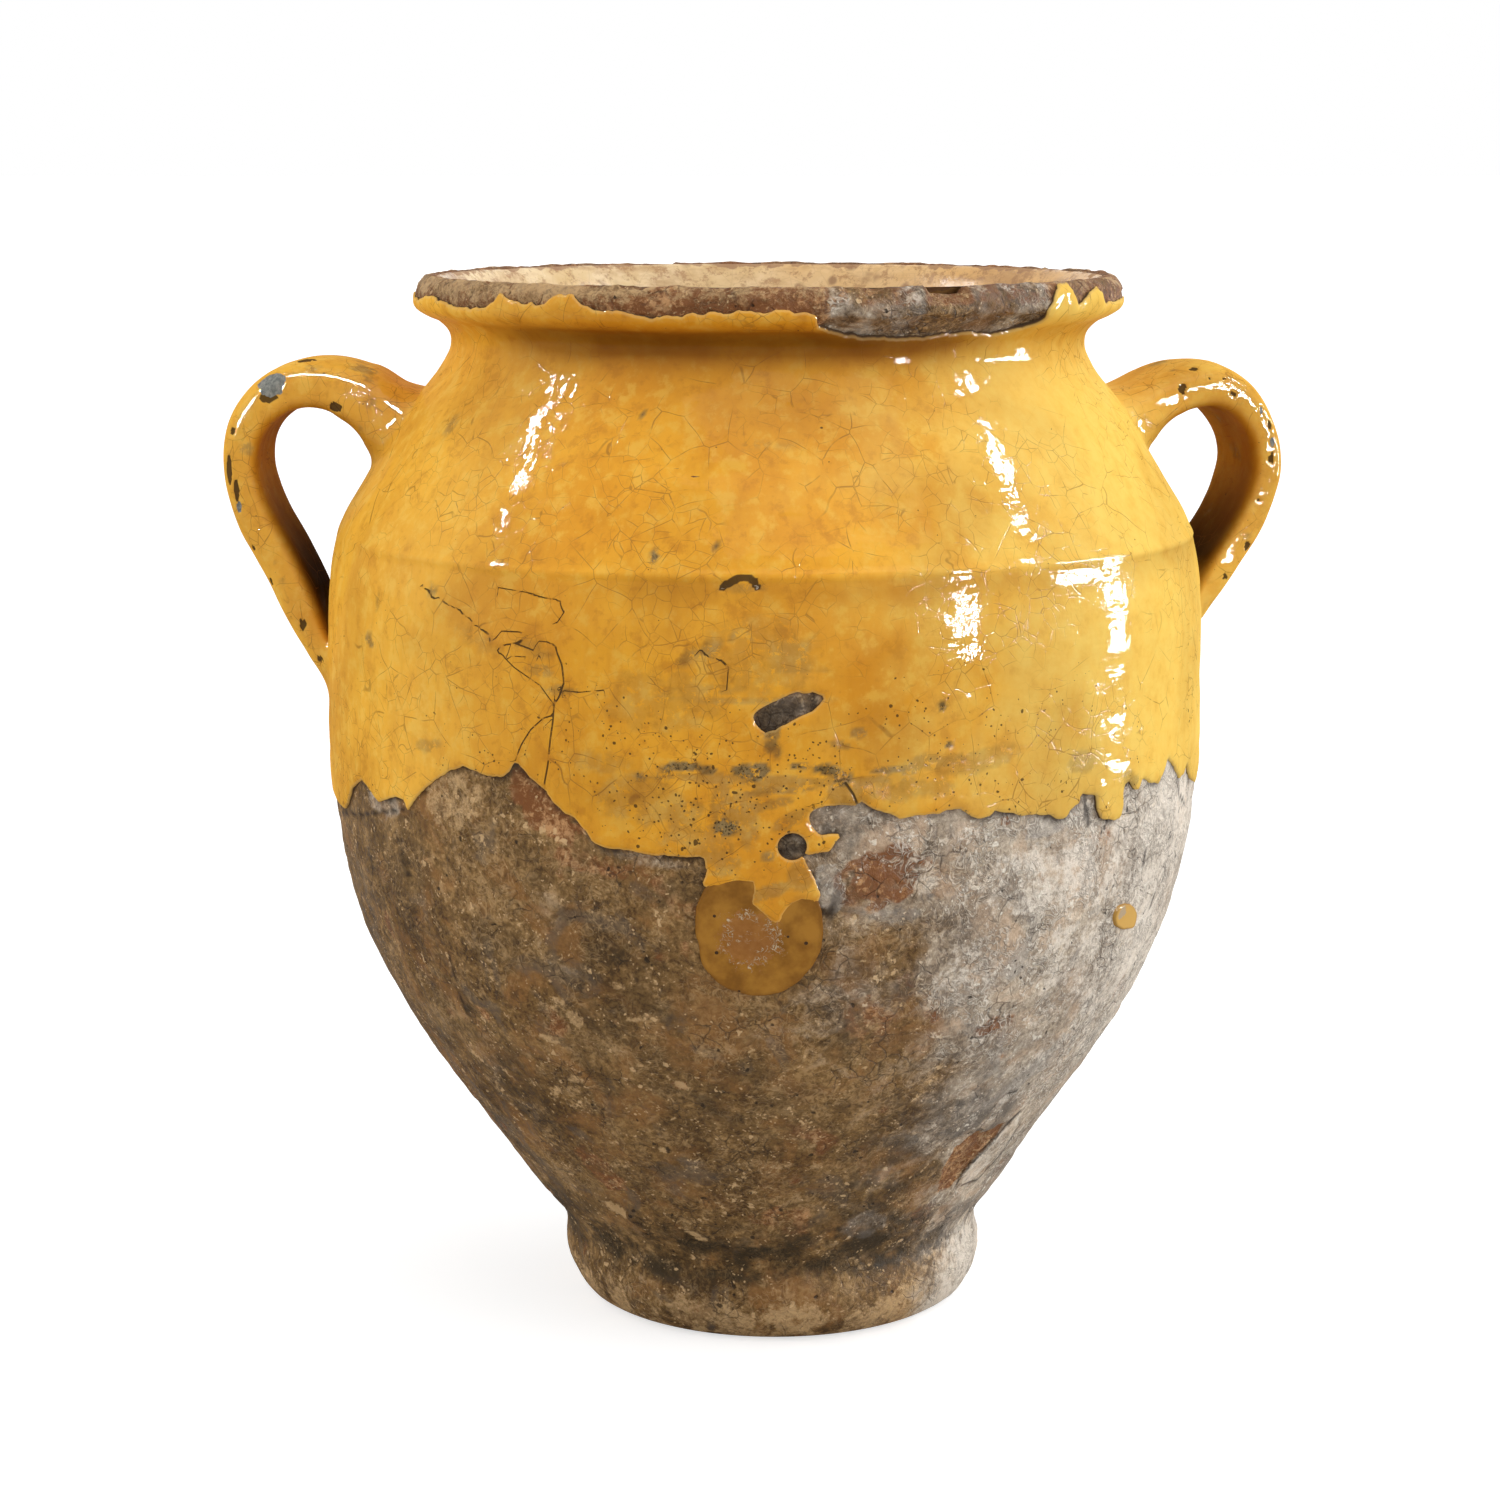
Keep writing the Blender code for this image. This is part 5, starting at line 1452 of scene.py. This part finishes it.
def amber_spot(name, node, seen_ring, scrape, bright, ring_count, rays):
    """A thin round spot of glaze: rings drawn in from its ragged outline to its middle, lying on the clay."""
    ring = on_wall(seen_ring)
    middle = ring.mean(axis=0)
    closed = smooth_line(np.vstack([ring, ring[:1]]), 0.3)
    closed = evened(closed, np.linspace(0, run_of(closed)[-1], rays + 1)[:-1])
    ragged = 0.4 * grain(np.stack([closed[:, 0], closed[:, 1], 0 * closed[:, 0]], axis=1), 4, 207)
    closed = middle + (closed - middle) * (1 + ragged / np.linalg.norm(closed - middle, axis=1))[:, None]
    shares = np.linspace(1, 0.02, ring_count)
    wall = np.concatenate([middle + share * (closed - middle) for share in shares])
    height = np.interp(wall[:, 1], outer_run, outer_line[:, 1])
    angle = wall[:, 0] / AROUND
    flat = placed_round(angle, radius_at(height), height)
    inset = np.repeat(1 - shares, rays) * np.linalg.norm(closed - middle, axis=1).mean()
    lumps = 0.42 * clouds(flat, 26, 1, 3) - 0.25 + 0.3
    lift = AMBER * between(0, 0.8, inset) + 0.5 * lumps + 0.32 + 0.03 * grain(flat, 3, 205)
    lift = np.where(inset <= 0, -0.6, lift)
    places = flat + wall_out(angle, height) * (lift + out_of_round(angle, height))[:, None]
    faces = row_faces(ring_count, rays)
    faces.append(list(range(len(places) - rays, len(places))))
    x, y, across = scrape
    piece = new_piece(name, places, faces, {
        "scraped": spot(wall, x, y, across, across), "inset": inset, "bright": np.full(len(wall), bright),
    })
    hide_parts(node)
    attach(piece, "root")
    return piece


patch = amber_spot("amber_patch", "amber_glaze_patch", PATCH_RING, PATCH_SCRAPE, 0.0, 44, 220)
drop = amber_spot("amber_drop", "amber_glaze_drop", DROP_RING, DROP_SCRAPE, 1.0, 12, 48)
amber = Recipe("amber_glaze_stain")
fine = amber.noise(1.6, 4, 0.7)
bright = amber.painted("bright")
amber.color = amber.mix(amber.noise(9, 4, 0.6).ease(0.35, 0.65), (0.215, 0.085, 0.008), (0.39, 0.175, 0.022))
amber.tint(bright, (0.62, 0.36, 0.085))
amber.tint(amber.painted("inset").ease(1.6, 0.1, 0.0, 0.5), (0.17, 0.065, 0.008))
scraped = (amber.painted("scraped") + fine.ease(0.3, 0.7, -0.25, 0.25)).ease(0.35, 0.6)
bared_clay = amber.mix(fine, (0.20, 0.070, 0.018), (0.46, 0.21, 0.07))
amber.tint(scraped * 0.75, amber.mix(bright, bared_clay, (0.40, 0.34, 0.27)))
hairs = abs(amber.noise(1.9, 1.5, 0.5, 1.4, amber.swayed(4, 3)) - 0.5).ease(0.05, 0.006)
hairs = hairs * scraped * amber.noise(5, 3).ease(0.44, 0.58)
amber.tint(hairs * 0.9, (0.62, 0.50, 0.33))
amber.tint((amber.cells(7.5) < 0.07) * 0.9, (0.02, 0.012, 0.008))
amber.set(amber.shader, Coat_Weight=scraped.ease(0.0, 0.6, 0.30, 0.0))
amber.finish(scraped.ease(0.0, 1.0, 0.30, 0.65), fine * 0.05 + hairs * 0.12, 1.0, [patch, drop],
             Specular_IOR_Level=0.0, Coat_Roughness=0.2)

for cad_node in ("lower_section", "upper_section"):
    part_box(cad_node)
